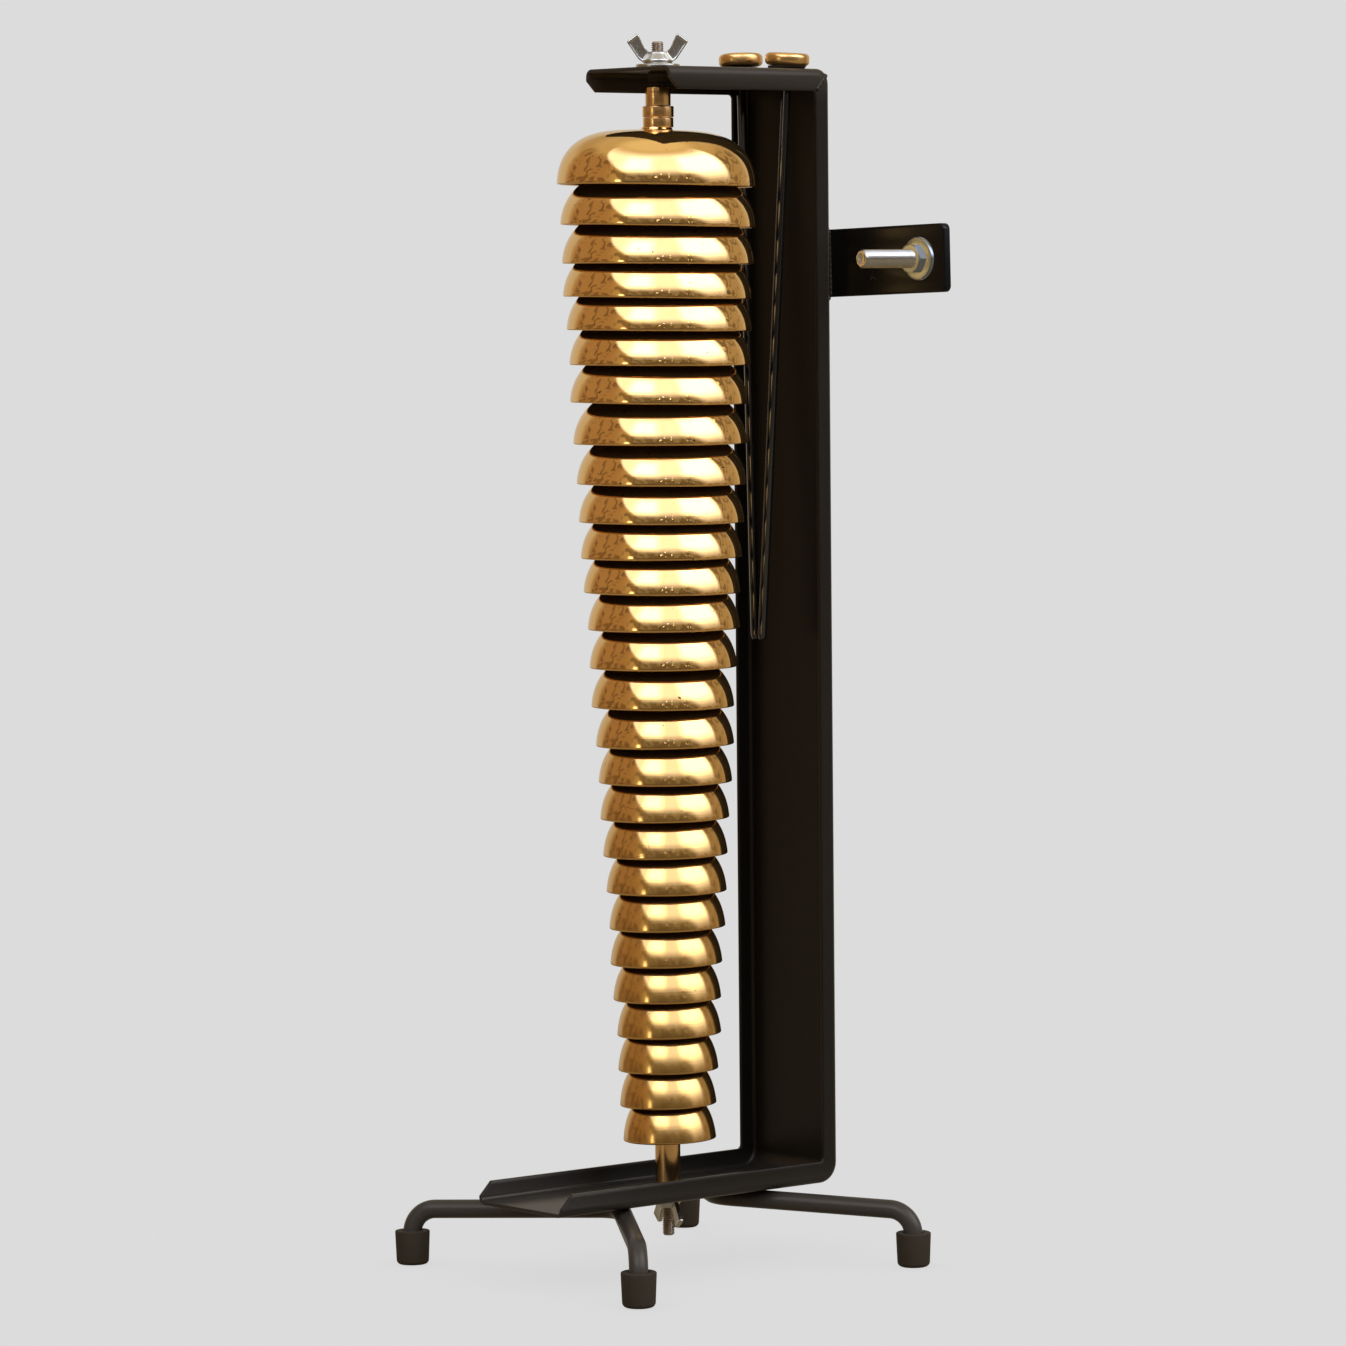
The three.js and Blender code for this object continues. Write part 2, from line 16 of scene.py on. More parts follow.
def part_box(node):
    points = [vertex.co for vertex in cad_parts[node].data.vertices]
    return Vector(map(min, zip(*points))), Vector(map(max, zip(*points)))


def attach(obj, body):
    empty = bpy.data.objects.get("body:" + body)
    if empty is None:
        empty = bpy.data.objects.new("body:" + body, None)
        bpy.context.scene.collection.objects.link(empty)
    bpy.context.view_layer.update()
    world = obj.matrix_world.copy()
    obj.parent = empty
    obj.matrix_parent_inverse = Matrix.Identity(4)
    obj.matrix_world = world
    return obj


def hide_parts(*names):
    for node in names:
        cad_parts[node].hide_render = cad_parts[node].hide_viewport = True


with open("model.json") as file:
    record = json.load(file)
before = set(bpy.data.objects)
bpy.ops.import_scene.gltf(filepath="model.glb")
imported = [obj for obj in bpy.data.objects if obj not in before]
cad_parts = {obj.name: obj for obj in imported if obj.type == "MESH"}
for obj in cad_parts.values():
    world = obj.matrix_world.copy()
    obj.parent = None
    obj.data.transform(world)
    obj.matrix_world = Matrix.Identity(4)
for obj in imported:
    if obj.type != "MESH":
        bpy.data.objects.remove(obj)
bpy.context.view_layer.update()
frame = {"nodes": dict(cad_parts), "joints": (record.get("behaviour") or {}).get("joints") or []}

MM = 0.001


# ---- Places read from the frame ----

def box_mm(node):
    low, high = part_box(node)
    return low / MM, high / MM


def centre_mm(node):
    low, high = box_mm(node)
    return (low + high) / 2


SPINDLE = Vector((centre_mm("spindle_rod").x, centre_mm("spindle_rod").y, 0))


def widest_radius(node):
    """How far a turned node reaches from the spindle's axis."""
    points = [v.co / MM - SPINDLE for v in frame["nodes"][node].data.vertices]
    return max(hypot(p.x, p.y) for p in points)


# ---- Driving dimensions ----

CHANNEL_WIDTH = 84.0
ARM_FLANGE = 14.5
COLUMN_FLANGE = 13.0
SHEET = 2.5
FOLD_RADIUS = 5.0
TOP_CORNER_RADIUS = 9.0
BASE_CORNER_RADIUS = 13.0
INNER_CORNER_RADIUS = 3.0
TOP_ARM_FRONT = -25.0
TOP_ARM_CHAMFER = 7.0
BASE_ARM_CHAMFER = 9.0
GROMMET_HOLE_RADIUS = 7.0

BELL_COUNT = 27
CUP_HEIGHTS = (35.5, 29.0)
CUP_WALL = 2.0
CUP_BORE_RADIUS = 5.15
CUP_TILTS = (1.3, -1.5)
CUP_PLAY = 0.9
CUP_WOBBLE = 0.4
CUP_FLARE = 0.075
TOP_CUP_FLARE = 0.02
CUP_RIM_ANGLE = 2.2
CUP_SIDES = 144
RIM_ROUND = 0.7
HUB_RADIUS = 9.75
BORE_RADIUS = 4.6
BOSS_RISE = 1.6

SPINDLE_RADIUS = 3.95
SPINDLE_PITCH = 1.25
STUD_RADIUS = 5.95
STUD_PITCH = 1.75
STUD_NUT_ACROSS = 17.5
STUD_HEAD_ACROSS = 18.0
STUD_HEAD_THICKNESS = 7.5
PLATE_HEIGHT = 43.5
PLATE_TILT = 1.4
ROD_RADIUS = 6.0
ROD_APEX = 40.0
ROD_DROOP = 4.5
ROD_BENDS = (16.0, 20.0, 16.0)
FOOT_LEANS = (
    ("front_right", 0.6, 0.8), ("front_left", -0.7, -1.0),
    ("rear_right", 0.8, 0.7), ("rear_left", -0.5, 0.6),
)
BEATER_HEAD_RADIUS = 14.15
BEATER_HEAD_HALF = 4.0
BEATER_ROD_RADIUS = 3.0
BEATER_DROP = {"left": 0.0, "right": 0.9}

CAMERA_AZIMUTH = radians(50.04)
CAMERA_PITCH = radians(3.59)
CAMERA_ROLL = radians(-0.53)
CAMERA_DISTANCE = 3863.4
CAMERA_TARGET_HEIGHT = 381.7
CAMERA_TARGET_SHIFT = 6.17
CAMERA_LENS = 161.27
SENSOR_WIDTH = 36.0
BACKDROP = (0.716, 0.716, 0.716)

TO_RIGHT = Vector((cos(CAMERA_AZIMUTH), sin(CAMERA_AZIMUTH), 0))
TO_CAMERA = Vector((sin(CAMERA_AZIMUTH), -cos(CAMERA_AZIMUTH), 0))


# ---- Shader nodes ----

class Shader:
    """Adds nodes to one tree. Its shorthands take numbers, colours or sockets and return sockets."""

    def __init__(self, tree):
        self.tree = tree

    def add(self, kind, inputs=None, **settings):
        """A node with its settings, and its inputs by name or number."""
        node = self.tree.nodes.new(kind)
        for key, value in settings.items():
            setattr(node, key, value)
        self.fill(node, inputs or {})
        return node

    def fill(self, node, inputs):
        for key, value in inputs.items():
            socket = node.inputs[key]
            if isinstance(value, bpy.types.NodeSocket):
                self.tree.links.new(value, socket)
            elif socket.type == "RGBA":
                socket.default_value = (*value, 1.0)
            else:
                socket.default_value = value

    def math(self, operation, a, b=0.0):
        return self.add("ShaderNodeMath", {0: a, 1: b}, operation=operation).outputs[0]

    def plus(self, a, b):
        return self.math("ADD", a, b)

    def times(self, a, b):
        return self.math("MULTIPLY", a, b)

    def invert(self, value):
        return self.math("SUBTRACT", 1.0, value)

    def vector(self, operation, a, b=(0, 0, 0)):
        node = self.add("ShaderNodeVectorMath", {0: a, 1: b}, operation=operation)
        return node.outputs["Value" if operation in ("DOT_PRODUCT", "LENGTH") else "Vector"]

    def step(self, value, low, high):
        """0 at low and beyond, 1 at high and beyond, and smooth between them."""
        inputs = {"Value": value, "From Min": low, "From Max": high}
        return self.add("ShaderNodeMapRange", inputs, interpolation_type="SMOOTHSTEP").outputs[0]

    def scale_to(self, value, low, high):
        """Stretches 0..1 to low..high."""
        return self.add("ShaderNodeMapRange", {"Value": value, "To Min": low, "To Max": high}).outputs[0]

    def mix(self, factor, a, b):
        """Mixes two colours, which are a mix node's inputs 6 and 7 and its output 2."""
        return self.add("ShaderNodeMix", {0: factor, 6: a, 7: b}, data_type="RGBA").outputs[2]

    def noise(self, place, scale, detail=2.0, roughness=0.5, distortion=0.0):
        inputs = {"Vector": place, "Scale": scale, "Detail": detail, "Roughness": roughness}
        inputs["Distortion"] = distortion
        return self.add("ShaderNodeTexNoise", inputs).outputs[0]

    def bump(self, height, distance, strength=1.0, normal=None):
        inputs = {"Height": height, "Distance": distance, "Strength": strength}
        if normal is not None:
            inputs["Normal"] = normal
        return self.add("ShaderNodeBump", inputs).outputs[0]

    def combine(self, x, y, z):
        return self.add("ShaderNodeCombineXYZ", {0: x, 1: y, 2: z}).outputs[0]

    def split(self, vector):
        return self.add("ShaderNodeSeparateXYZ", {0: vector}).outputs

    def lengthwise(self, place, share):
        """The place with its height shrunk, so that noise on it draws out into upright lines."""
        x, y, z = self.split(place)
        return self.combine(x, y, self.times(z, share))

    def hairlines(self, place, scale, width):
        """Fine curved lines, 1 on a line and 0 off it, present only in patches."""
        field = self.noise(place, scale, detail=1.0, distortion=0.6)
        distance = self.math("ABSOLUTE", self.math("SUBTRACT", field, 0.5))
        line = self.invert(self.step(distance, 0.0, width))
        patches = self.step(self.noise(place, scale * 0.6), 0.57, 0.66)
        return self.times(line, patches)


class Surface(Shader):
    """A new material whose nodes work in the part's own frame, in metres."""

    def __init__(self, name):
        self.material = bpy.data.materials.new(name)
        self.material.use_nodes = True
        super().__init__(self.material.node_tree)
        self.place = self.add("ShaderNodeTexCoord").outputs["Object"]

    def dressed(self, inputs):
        """Puts values or sockets on the named inputs of the surface, and returns the material."""
        surface = next(n for n in self.tree.nodes if n.type == "BSDF_PRINCIPLED")
        self.fill(surface, inputs)
        return self.material


# ---- Materials ----

WARM_SHEEN = (1.0, 0.86, 0.66)
# Heights down which the cups grow duller and take a painted shade.
DULLING_AND_SHADE_HEIGHTS = (0.52, 0.12)
# Heights of the black steel's painted sheen: on the top arm, and on the parts down low.
TOP_SHEEN_HEIGHTS = (0.744, 0.766)
LOW_SHEEN_HEIGHTS = (0.062, 0.030)


def turning_marks(look, scale):
    """Rings round the spindle's axis, as a lathe or a buffing wheel leaves them."""
    away = look.vector("SUBTRACT", look.place, tuple(SPINDLE * MM))
    x, y, z = look.split(away)
    radius = look.vector("LENGTH", look.combine(x, y, 0.0))
    return look.noise(look.combine(radius, 0.0, z), scale, detail=3.0, roughness=0.7)


def make_polished_brass():
    """Buffed brass with a slow sway, brown scratches and specks; duller down the row, and painted darker
    there as shade that dims the lower cups.
    """
    look = Surface("polished_brass")
    place = look.place
    rings = turning_marks(look, 700.0)
    sway = look.noise(place, 30.0, detail=1.0)
    blotches = look.noise(place, 90.0, detail=4.0, roughness=0.6)
    scratches = look.hairlines(place, 30.0, 0.0045)
    specks = look.step(look.noise(place, 330.0, detail=1.0), 0.775, 0.79)
    duller_and_shaded_low = look.step(look.split(place)[2], *DULLING_AND_SHADE_HEIGHTS)
    fresh = look.mix(blotches, (0.90, 0.575, 0.20), (0.85, 0.50, 0.155))
    # Painted shade: the lower cups' colour is darkened towards a deep brown-gold to dim their
    # highlights.
    tone = look.mix(duller_and_shaded_low, fresh, (0.66, 0.39, 0.115))
    worn = look.mix(look.times(scratches, 0.8), tone, (0.36, 0.19, 0.05))
    haze = look.plus(0.022, look.times(duller_and_shaded_low, 0.13))
    dulled = look.scale_to(look.step(blotches, 0.48, 0.7), 0.0, 0.035)
    turned_bump = look.bump(rings, 0.0002, 0.10, look.bump(sway, 0.002, 0.08))
    return look.dressed({
        "Base Color": look.mix(specks, worn, (0.10, 0.05, 0.02)),
        "Roughness": look.plus(haze, look.plus(dulled, look.times(scratches, 0.1))),
        "Metallic": 0.98,
        "Normal": look.bump(scratches, 0.0002, -0.4, turned_bump),
    })


def make_satin_brass():
    """The beaters' heads: brass dulled by knocks, with small dents."""
    look = Surface("satin_brass")
    dents = look.noise(look.place, 230.0, detail=3.0, roughness=0.6)
    stains = look.noise(look.place, 110.0, detail=4.0)
    return look.dressed({
        "Base Color": look.mix(stains, (0.86, 0.56, 0.20), (0.66, 0.36, 0.11)),
        "Roughness": look.scale_to(stains, 0.16, 0.30),
        "Metallic": 1.0,
        "Normal": look.bump(dents, 0.0005, 0.10),
    })


def make_shaded_inner_brass():
    """The unpolished inside of a cup, with coarse tool rings and blotchy tones, painted dark as shade
    for the hollows between the cups.
    """
    look = Surface("shaded_inner_brass")
    rings = turning_marks(look, 420.0)
    stains = look.noise(look.place, 60.0, detail=5.0, roughness=0.65)
    return look.dressed({
        "Base Color": look.mix(stains, (0.17, 0.12, 0.065), (0.07, 0.048, 0.028)),
        "Roughness": look.scale_to(stains, 0.38, 0.62),
        "Metallic": 0.5,
        "Normal": look.bump(rings, 0.0004, 0.4),
    })


def make_drawn_brass():
    """The spacer tubes: drawn brass with lengthwise die lines and brown handling marks."""
    look = Surface("drawn_brass")
    lines = look.noise(look.lengthwise(look.place, 0.04), 1400.0)
    marks = look.noise(look.place, 120.0, detail=4.0, roughness=0.7)
    tone = look.mix(marks, (0.90, 0.56, 0.22), (0.72, 0.43, 0.16))
    return look.dressed({
        "Base Color": look.mix(look.step(marks, 0.6, 0.72), tone, (0.30, 0.14, 0.04)),
        "Roughness": look.scale_to(marks, 0.10, 0.26),
        "Metallic": 1.0,
        "Normal": look.bump(lines, 0.0001, 0.25),
    })


def make_black_steel():
    """Satin black powder coat: fine orange peel, soft haze and dust specks, with a painted sheen that
    lightens the top arm and the parts down low.
    """
    look = Surface("black_steel")
    place = look.place
    peel = look.noise(place, 900.0)
    dips = look.noise(place, 110.0, detail=3.0)
    haze = look.noise(place, 14.0, detail=4.0, roughness=0.6)
    dust = look.step(look.noise(place, 1600.0, detail=1.0), 0.70, 0.78)
    height = look.split(place)[2]
    painted_top_sheen = look.step(height, *TOP_SHEEN_HEIGHTS)
    painted_low_sheen = look.step(height, *LOW_SHEEN_HEIGHTS)
    tone = look.mix(haze, (0.0056, 0.0047, 0.0033), (0.0092, 0.0077, 0.0054))
    # Painted sheen: the top arm is lightened, and its specular level is lowered to go with it.
    tone = look.mix(painted_top_sheen, tone, (0.034, 0.0268, 0.0182))
    # Painted sheen: the base and the feet are lightened.
    tone = look.mix(painted_low_sheen, tone, (0.040, 0.0345, 0.0260))
    return look.dressed({
        "Base Color": look.mix(dust, tone, (0.022, 0.019, 0.015)),
        "Roughness": look.scale_to(haze, 0.25, 0.38),
        "Specular IOR Level": look.scale_to(painted_top_sheen, 0.22, 0.13),
        "Specular Tint": WARM_SHEEN,
        "Normal": look.bump(peel, 0.0002, 0.22, look.bump(dips, 0.0008, 0.12)),
    })


def make_gloss_black():
    """The side plate's harder, glossier black, with a few rubbed marks."""
    look = Surface("gloss_black")
    rubbed = look.hairlines(look.place, 60.0, 0.008)
    cloud = look.noise(look.place, 30.0, detail=3.0)
    tone = look.mix(cloud, (0.0022, 0.0021, 0.0018), (0.0040, 0.0038, 0.0032))
    return look.dressed({
        "Base Color": look.mix(rubbed, tone, (0.03, 0.03, 0.028)),
        "Roughness": look.scale_to(cloud, 0.16, 0.28),
        "Specular IOR Level": 0.14,
        "Normal": look.bump(cloud, 0.0006, 0.15),
    })


def make_zinc_steel(name, bright, dark):
    """Zinc plate on steel: satin, with cloudy patches from a bright to a darker shade."""
    look = Surface(name)
    clouds = look.noise(look.place, 160.0, detail=4.0, roughness=0.65)
    grain = look.noise(look.place, 2200.0)
    return look.dressed({
        "Base Color": look.mix(clouds, bright, dark),
        "Roughness": look.scale_to(clouds, 0.17, 0.30),
        "Metallic": 1.0,
        "Normal": look.bump(grain, 0.0001, 0.12),
    })


def make_oiled_thread():
    """The spindle's bare thread, brown with old oil."""
    look = Surface("oiled_thread")
    grime = look.noise(look.place, 500.0, detail=4.0, roughness=0.7)
    return look.dressed({
        "Base Color": look.mix(grime, (0.58, 0.50, 0.39), (0.26, 0.19, 0.12)),
        "Roughness": look.scale_to(grime, 0.25, 0.5),
        "Metallic": 1.0,
    })


def make_black_rubber():
    """Moulded rubber: matt, finely pitted, greyed by dust."""
    look = Surface("black_rubber")
    pits = look.noise(look.place, 1500.0, detail=3.0, roughness=0.7)
    dust = look.noise(look.place, 70.0, detail=5.0, roughness=0.65)
    return look.dressed({
        "Base Color": look.mix(dust, (0.0185, 0.0140, 0.0082), (0.034, 0.0260, 0.0155)),
        "Roughness": look.scale_to(dust, 0.62, 0.85),
        "Specular IOR Level": 0.22,
        "Specular Tint": WARM_SHEEN,
        "Normal": look.bump(pits, 0.0002, 0.35),
    })


def make_black_lacquer():
    """Gloss lacquer over a turned rod: deep black, faint lengthwise ripples, hairline scratches."""
    look = Surface("black_lacquer")
    ripples = look.noise(look.lengthwise(look.place, 0.05), 500.0)
    scratches = look.hairlines(look.place, 140.0, 0.01)
    return look.dressed({
        "Base Color": look.mix(ripples, (0.004, 0.004, 0.0035), (0.009, 0.0085, 0.0075)),
        "Roughness": look.scale_to(scratches, 0.12, 0.3),
        "Coat Weight": 0.6,
        "Coat Roughness": 0.08,
        "Normal": look.bump(ripples, 0.0001, 0.3),
    })


BRASS = make_polished_brass()
SATIN_BRASS = make_satin_brass()
SHADED_INNER_BRASS = make_shaded_inner_brass()
DRAWN_BRASS = make_drawn_brass()
BLACK_STEEL = make_black_steel()
GLOSS_BLACK = make_gloss_black()
ZINC = make_zinc_steel("zinc_steel", (0.56, 0.545, 0.47), (0.40, 0.375, 0.305))
# A darker, bluer copy of the zinc for the stud's washer and nut: painted shade that offsets the bright,
# warm reflections they catch.
SHADED_ZINC = make_zinc_steel("shaded_zinc", (0.31, 0.35, 0.37), (0.21, 0.24, 0.25))
THREAD = make_oiled_thread()
RUBBER = make_black_rubber()
LACQUER = make_black_lacquer()

SLOTS = dict.fromkeys((BRASS, SATIN_BRASS, DRAWN_BRASS), "polished_brass")
SLOTS |= dict.fromkeys((BLACK_STEEL, GLOSS_BLACK), "black_steel")
SLOTS |= dict.fromkeys((ZINC, SHADED_ZINC, THREAD), "zinc_steel")
SLOTS |= {RUBBER: "black_rubber", LACQUER: "black_lacquer"}


# ---- Mesh helpers ----

def new_piece(name, points, faces, material, nodes=(), body="frame", crease=35.0):
    """Makes a mesh of points in millimetres, closed and facing out, that stands for CAD nodes."""
    mesh = bpy.data.meshes.new(name)
    mesh.from_pydata([Vector(p) * MM for p in points], [], faces)
    shell = bmesh.new()
    shell.from_mesh(mesh)
    bmesh.ops.recalc_face_normals(shell, faces=shell.faces)
    shell.to_mesh(mesh)
    shell.free()
    mesh.materials.append(material)
    smooth(mesh, crease)
    piece = bpy.data.objects.new(name, mesh)
    bpy.context.scene.collection.objects.link(piece)
    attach(piece, body)
    if nodes:
        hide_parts(*nodes)
    return piece


def smooth(mesh, crease):
    mesh.polygons.foreach_set("use_smooth", [True] * len(mesh.polygons))
    mesh.set_sharp_from_angle(angle=radians(crease))


def settle(piece):
    """Applies the piece's modifiers to its mesh."""
    graph = bpy.context.evaluated_depsgraph_get()
    mesh = bpy.data.meshes.new_from_object(piece.evaluated_get(graph))
    piece.modifiers.clear()
    piece.data = mesh


def soften_edges(piece, width, segments=2):
    bevel = piece.modifiers.new("soft_edges", "BEVEL")
    bevel.width = width * MM
    bevel.segments = segments
    bevel.limit_method = "ANGLE"
    bevel.angle_limit = radians(40.0)
    even = piece.modifiers.new("even_normals", "WEIGHTED_NORMAL")
    even.keep_sharp = True
    settle(piece)
    smooth(piece.data, 40.0)


def hide_from_mirrors(piece):
    """Keeps a small fitting from showing as a smudge in the polished cups."""
    piece.visible_glossy = False


def fillet(corners, closed=False, step=15.0):
    """A polyline whose corners (across, up, radius) are rounded."""
    flat = [Vector(c[:2]) for c in corners]
    count = len(corners)
    line = []
    for i, corner in enumerate(corners):
        at_end = not closed and i in (0, count - 1)
        radius = 0.0 if at_end or len(corner) < 3 else corner[2]
        here = flat[i]
        if radius <= 0.0:
            line.append(here)
            continue
        back = (flat[i - 1] - here).normalized()
        on = (flat[(i + 1) % count] - here).normalized()
        half = back.angle(on) / 2
        reach = radius / tan(half)
        centre = here + (back + on).normalized() * (radius / sin(half))
        first = here + back * reach - centre
        last = here + on * reach - centre
        sweep = pi - 2 * half
        turn = copysign(1.0, first.x * last.y - first.y * last.x)
        steps = max(1, round(degrees(sweep) / step))
        for k in range(steps + 1):
            angle = turn * sweep * k / steps
            across = first.x * cos(angle) - first.y * sin(angle)
            up = first.x * sin(angle) + first.y * cos(angle)
            line.append(centre + Vector((across, up)))
    return line


def ring_numbers(count, size):
    """The point numbers of so many rings, each of the same size."""
    return [list(range(i * size, (i + 1) * size)) for i in range(count)]


def bands(rings):
    """Quads between each ring of point numbers and the next."""
    faces = []
    for low, high in zip(rings, rings[1:]):
        for k in range(len(low)):
            after = (k + 1) % len(low)
            faces.append([low[k], low[after], high[after], high[k]])
    return faces


def circle(radius, height, sides):
    """Points evenly round the Z axis."""
    turns = [2 * pi * k / sides for k in range(sides)]
    return [Vector((radius * cos(angle), radius * sin(angle), height)) for angle in turns]


def turned(outline, sides, closed=False):
    """Points and faces of an outline (radius, height) turned round the Z axis."""
    points = []
    rings = []
    for radius, height in outline:
        if radius < 1e-6:
            rings.append([len(points)] * sides)
            points.append(Vector((0, 0, height)))
            continue
        rings.append(list(range(len(points), len(points) + sides)))
        points += circle(radius, height, sides)
    if closed:
        rings.append(rings[0])
    return points, [list(dict.fromkeys(loop)) for loop in bands(rings)]


def placed(points, matrix):
    return [matrix @ p for p in points]


def rotation(angle, axis):
    return Matrix.Rotation(radians(angle), 4, axis)


def on_spindle(height):
    return Matrix.Translation(SPINDLE + Vector((0, 0, height)))


def facing_front(x, y, z):
    """Stands a Z-axis piece so that its own up points to the front."""
    return Matrix.Translation((x, y, z)) @ rotation(90, "X")


def plain_section(bore, radius, height, low_round, high_round):
    """A washer's or a sleeve's section, its outer corners rounded as asked."""
    return [(bore, 0, 0.2), (radius, 0, low_round), (radius, height, high_round), (bore, height, 0.2)]


def turned_ring(name, corners, place, material, nodes=(), body="frame", sides=64, crease=35.0):
    """A ring whose rounded section is turned round the Z axis of its place."""
    points, faces = turned(fillet(corners, closed=True), sides, closed=True)
    return new_piece(name, placed(points, place), faces, material, nodes, body, crease)


def joined(parts):
    """The points and faces of several meshes as one."""
    points = []
    faces = []
    for part_points, part_faces in parts:
        offset = len(points)
        points += part_points
        faces += [[offset + i for i in face] for face in part_faces]
    return points, faces


def swept(stations, radius, sides, ripple=0.0):
    """A round bar along stations, with closed ends. ripple swells it from station to station."""
    points = []
    side = None
    for i, here in enumerate(stations):
        ahead = stations[min(i + 1, len(stations) - 1)]
        behind = stations[max(i - 1, 0)]
        along = (ahead - behind).normalized()
        if side is None:
            side = along.orthogonal().normalized()
        side = (side - along * side.dot(along)).normalized()
        other = along.cross(side)
        swell = radius * (1 + ripple * sin(1.9 * i))
        for k in range(sides):
            angle = 2 * pi * k / sides
            points.append(here + (side * cos(angle) + other * sin(angle)) * swell)
    rings = ring_numbers(len(stations), sides)
    return points, bands(rings) + [rings[0], rings[-1]]


def bent_line(corners, radii, steps):
    """Stations along straight runs joined by bends."""
    stations = [corners[0]]
    for i in range(1, len(corners) - 1):
        before = (corners[i] - corners[i - 1]).normalized()
        after = (corners[i + 1] - corners[i]).normalized()
        turn = before.angle(after)
        start = corners[i] - before * (radii[i - 1] * tan(turn / 2))
        side = (after - before * cos(turn)).normalized()
        for k in range(steps + 1):
            angle = turn * k / steps
            forward = before * (radii[i - 1] * sin(angle))
            stations.append(start + forward + side * (radii[i - 1] * (1 - cos(angle))))
    stations.append(corners[-1])
    return stations


def weld(name, start, end, radius):
    """A short painted weld bead with the ripples of its passes."""
    count = max(6, round((end - start).length / 1.1))
    stations = [start.lerp(end, i / count) for i in range(count + 1)]
    points, faces = swept(stations, radius, 12, ripple=0.12)
    return new_piece(name, points, faces, BLACK_STEEL, crease=180.0)


# ---- The folded channel ----

def channel_section():
    """The channel's section as pairs of outer and inner points, from one flange's edge to the other's.

    A point is (across, depth, share): depth is from the web's outer face, and share is how far it
    stands up the straight part of a flange.
    """
    half = CHANNEL_WIDTH / 2
    flange_shares = (1.0, 0.75, 0.5, 0.263, 0.053)
    fold_steps = 8
    web_steps = 6
    inner_fold = FOLD_RADIUS - SHEET
    pairs = []
    for share in flange_shares:
        outer = (half, FOLD_RADIUS, share)
        inner = (half - SHEET, FOLD_RADIUS, share)
        pairs.append((outer, inner))
    for k in range(fold_steps + 1):
        angle = pi / 2 * k / fold_steps
        across = half - FOLD_RADIUS
        outer = (across + FOLD_RADIUS * cos(angle), FOLD_RADIUS * (1 - sin(angle)), 0.0)
        inner_depth = FOLD_RADIUS - inner_fold * sin(angle)
        inner = (across + inner_fold * cos(angle), inner_depth, 0.0)
        pairs.append((outer, inner))
    mirrored = [tuple((-x, depth, share) for x, depth, share in pair) for pair in reversed(pairs)]
    for k in range(1, web_steps):
        across = (half - FOLD_RADIUS) * (1 - 2 * k / web_steps)
        pairs.append(((across, 0.0, 0.0), (across, SHEET, 0.0)))
    return pairs + mirrored


def channel_corner(across, arm, back, edge, outer_radius, direction):
    """One point of the section carried round a corner, from the arm at this edge to the column."""
    steps = 8
    radius = outer_radius + (INNER_CORNER_RADIUS - outer_radius) * arm / ARM_FLANGE
    end = edge + direction * (arm + radius)
    turn = []
    for k in range(steps + 1):
        angle = pi / 2 * k / steps
        y = back - radius + radius * sin(angle)
        turn.append(Vector((across, y, end - direction * radius * cos(angle))))
    return turn


def channel_track(point, low, high):
    """One point of the section carried round the C, from the base arm's front to the top arm's."""
    across, depth, share = point
    arm = depth + share * (ARM_FLANGE - FOLD_RADIUS)
    column = depth + share * (COLUMN_FLANGE - FOLD_RADIUS)
    base_front = low.y + max(0.0, arm - (ARM_FLANGE - BASE_ARM_CHAMFER))
    top_front = SPINDLE.y + TOP_ARM_FRONT + max(0.0, arm - (ARM_FLANGE - TOP_ARM_CHAMFER))
    back = high.y - column
    track = [Vector((across, base_front, low.z + arm)), Vector((across, SPINDLE.y, low.z + arm))]
    track += channel_corner(across, arm, back, low.z, BASE_CORNER_RADIUS, 1)
    track += reversed(channel_corner(across, arm, back, high.z, TOP_CORNER_RADIUS, -1))
    track.append(Vector((across, top_front, high.z - arm)))
    return track


def make_channel():
    low, high = box_mm("frame_channel")
    section = channel_section()
    tracks = []
    for pair in section:
        tracks.append([channel_track(point, low, high) for point in pair])
    loop = [t[0] for t in tracks] + [t[1] for t in reversed(tracks)]
    centre = centre_mm("frame_channel").x
    length = len(loop[0])
    points = [p + Vector((centre, 0, 0)) for track in loop for p in track]
    faces = []
    for i in range(len(loop)):
        here, after = i * length, (i + 1) % len(loop) * length
        for k in range(length - 1):
            faces.append([here + k, after + k, after + k + 1, here + k + 1])
    for end in (0, length - 1):
        for i in range(len(section) - 1):
            outer, outer_next = i * length, (i + 1) * length
            inner = (len(loop) - 1 - i) * length
            inner_next = inner - length
            faces.append([outer + end, outer_next + end, inner_next + end, inner + end])
    piece = new_piece("channel_shell", points, faces, BLACK_STEEL, ["frame_channel"])
    drill_channel(piece, low, high)
    soften_edges(piece, 0.45)


def drill_channel(piece, low, high):
    """Cuts the spindle's two holes and the grommets' two through the web."""
    reach = 2 * SHEET
    holes = [(SPINDLE.x, SPINDLE.y, low.z, BORE_RADIUS), (SPINDLE.x, SPINDLE.y, high.z, BORE_RADIUS)]
    for side in ("left", "right"):
        middle = centre_mm("grommet_" + side)
        holes.append((middle.x, middle.y, high.z, GROMMET_HOLE_RADIUS))
    drills = []
    for x, y, z, radius in holes:
        outline = [(0, -reach), (radius, -reach), (radius, reach), (0, reach)]
        points, faces = turned(outline, 40)
        drills.append((placed(points, Matrix.Translation((x, y, z))), faces))
    points, faces = joined(drills)
    cutter = new_piece("drill", points, faces, BLACK_STEEL)
    cut = piece.modifiers.new("holes", "BOOLEAN")
    cut.object = cutter
    cut.solver = "EXACT"
    settle(piece)
    bpy.data.objects.remove(cutter)


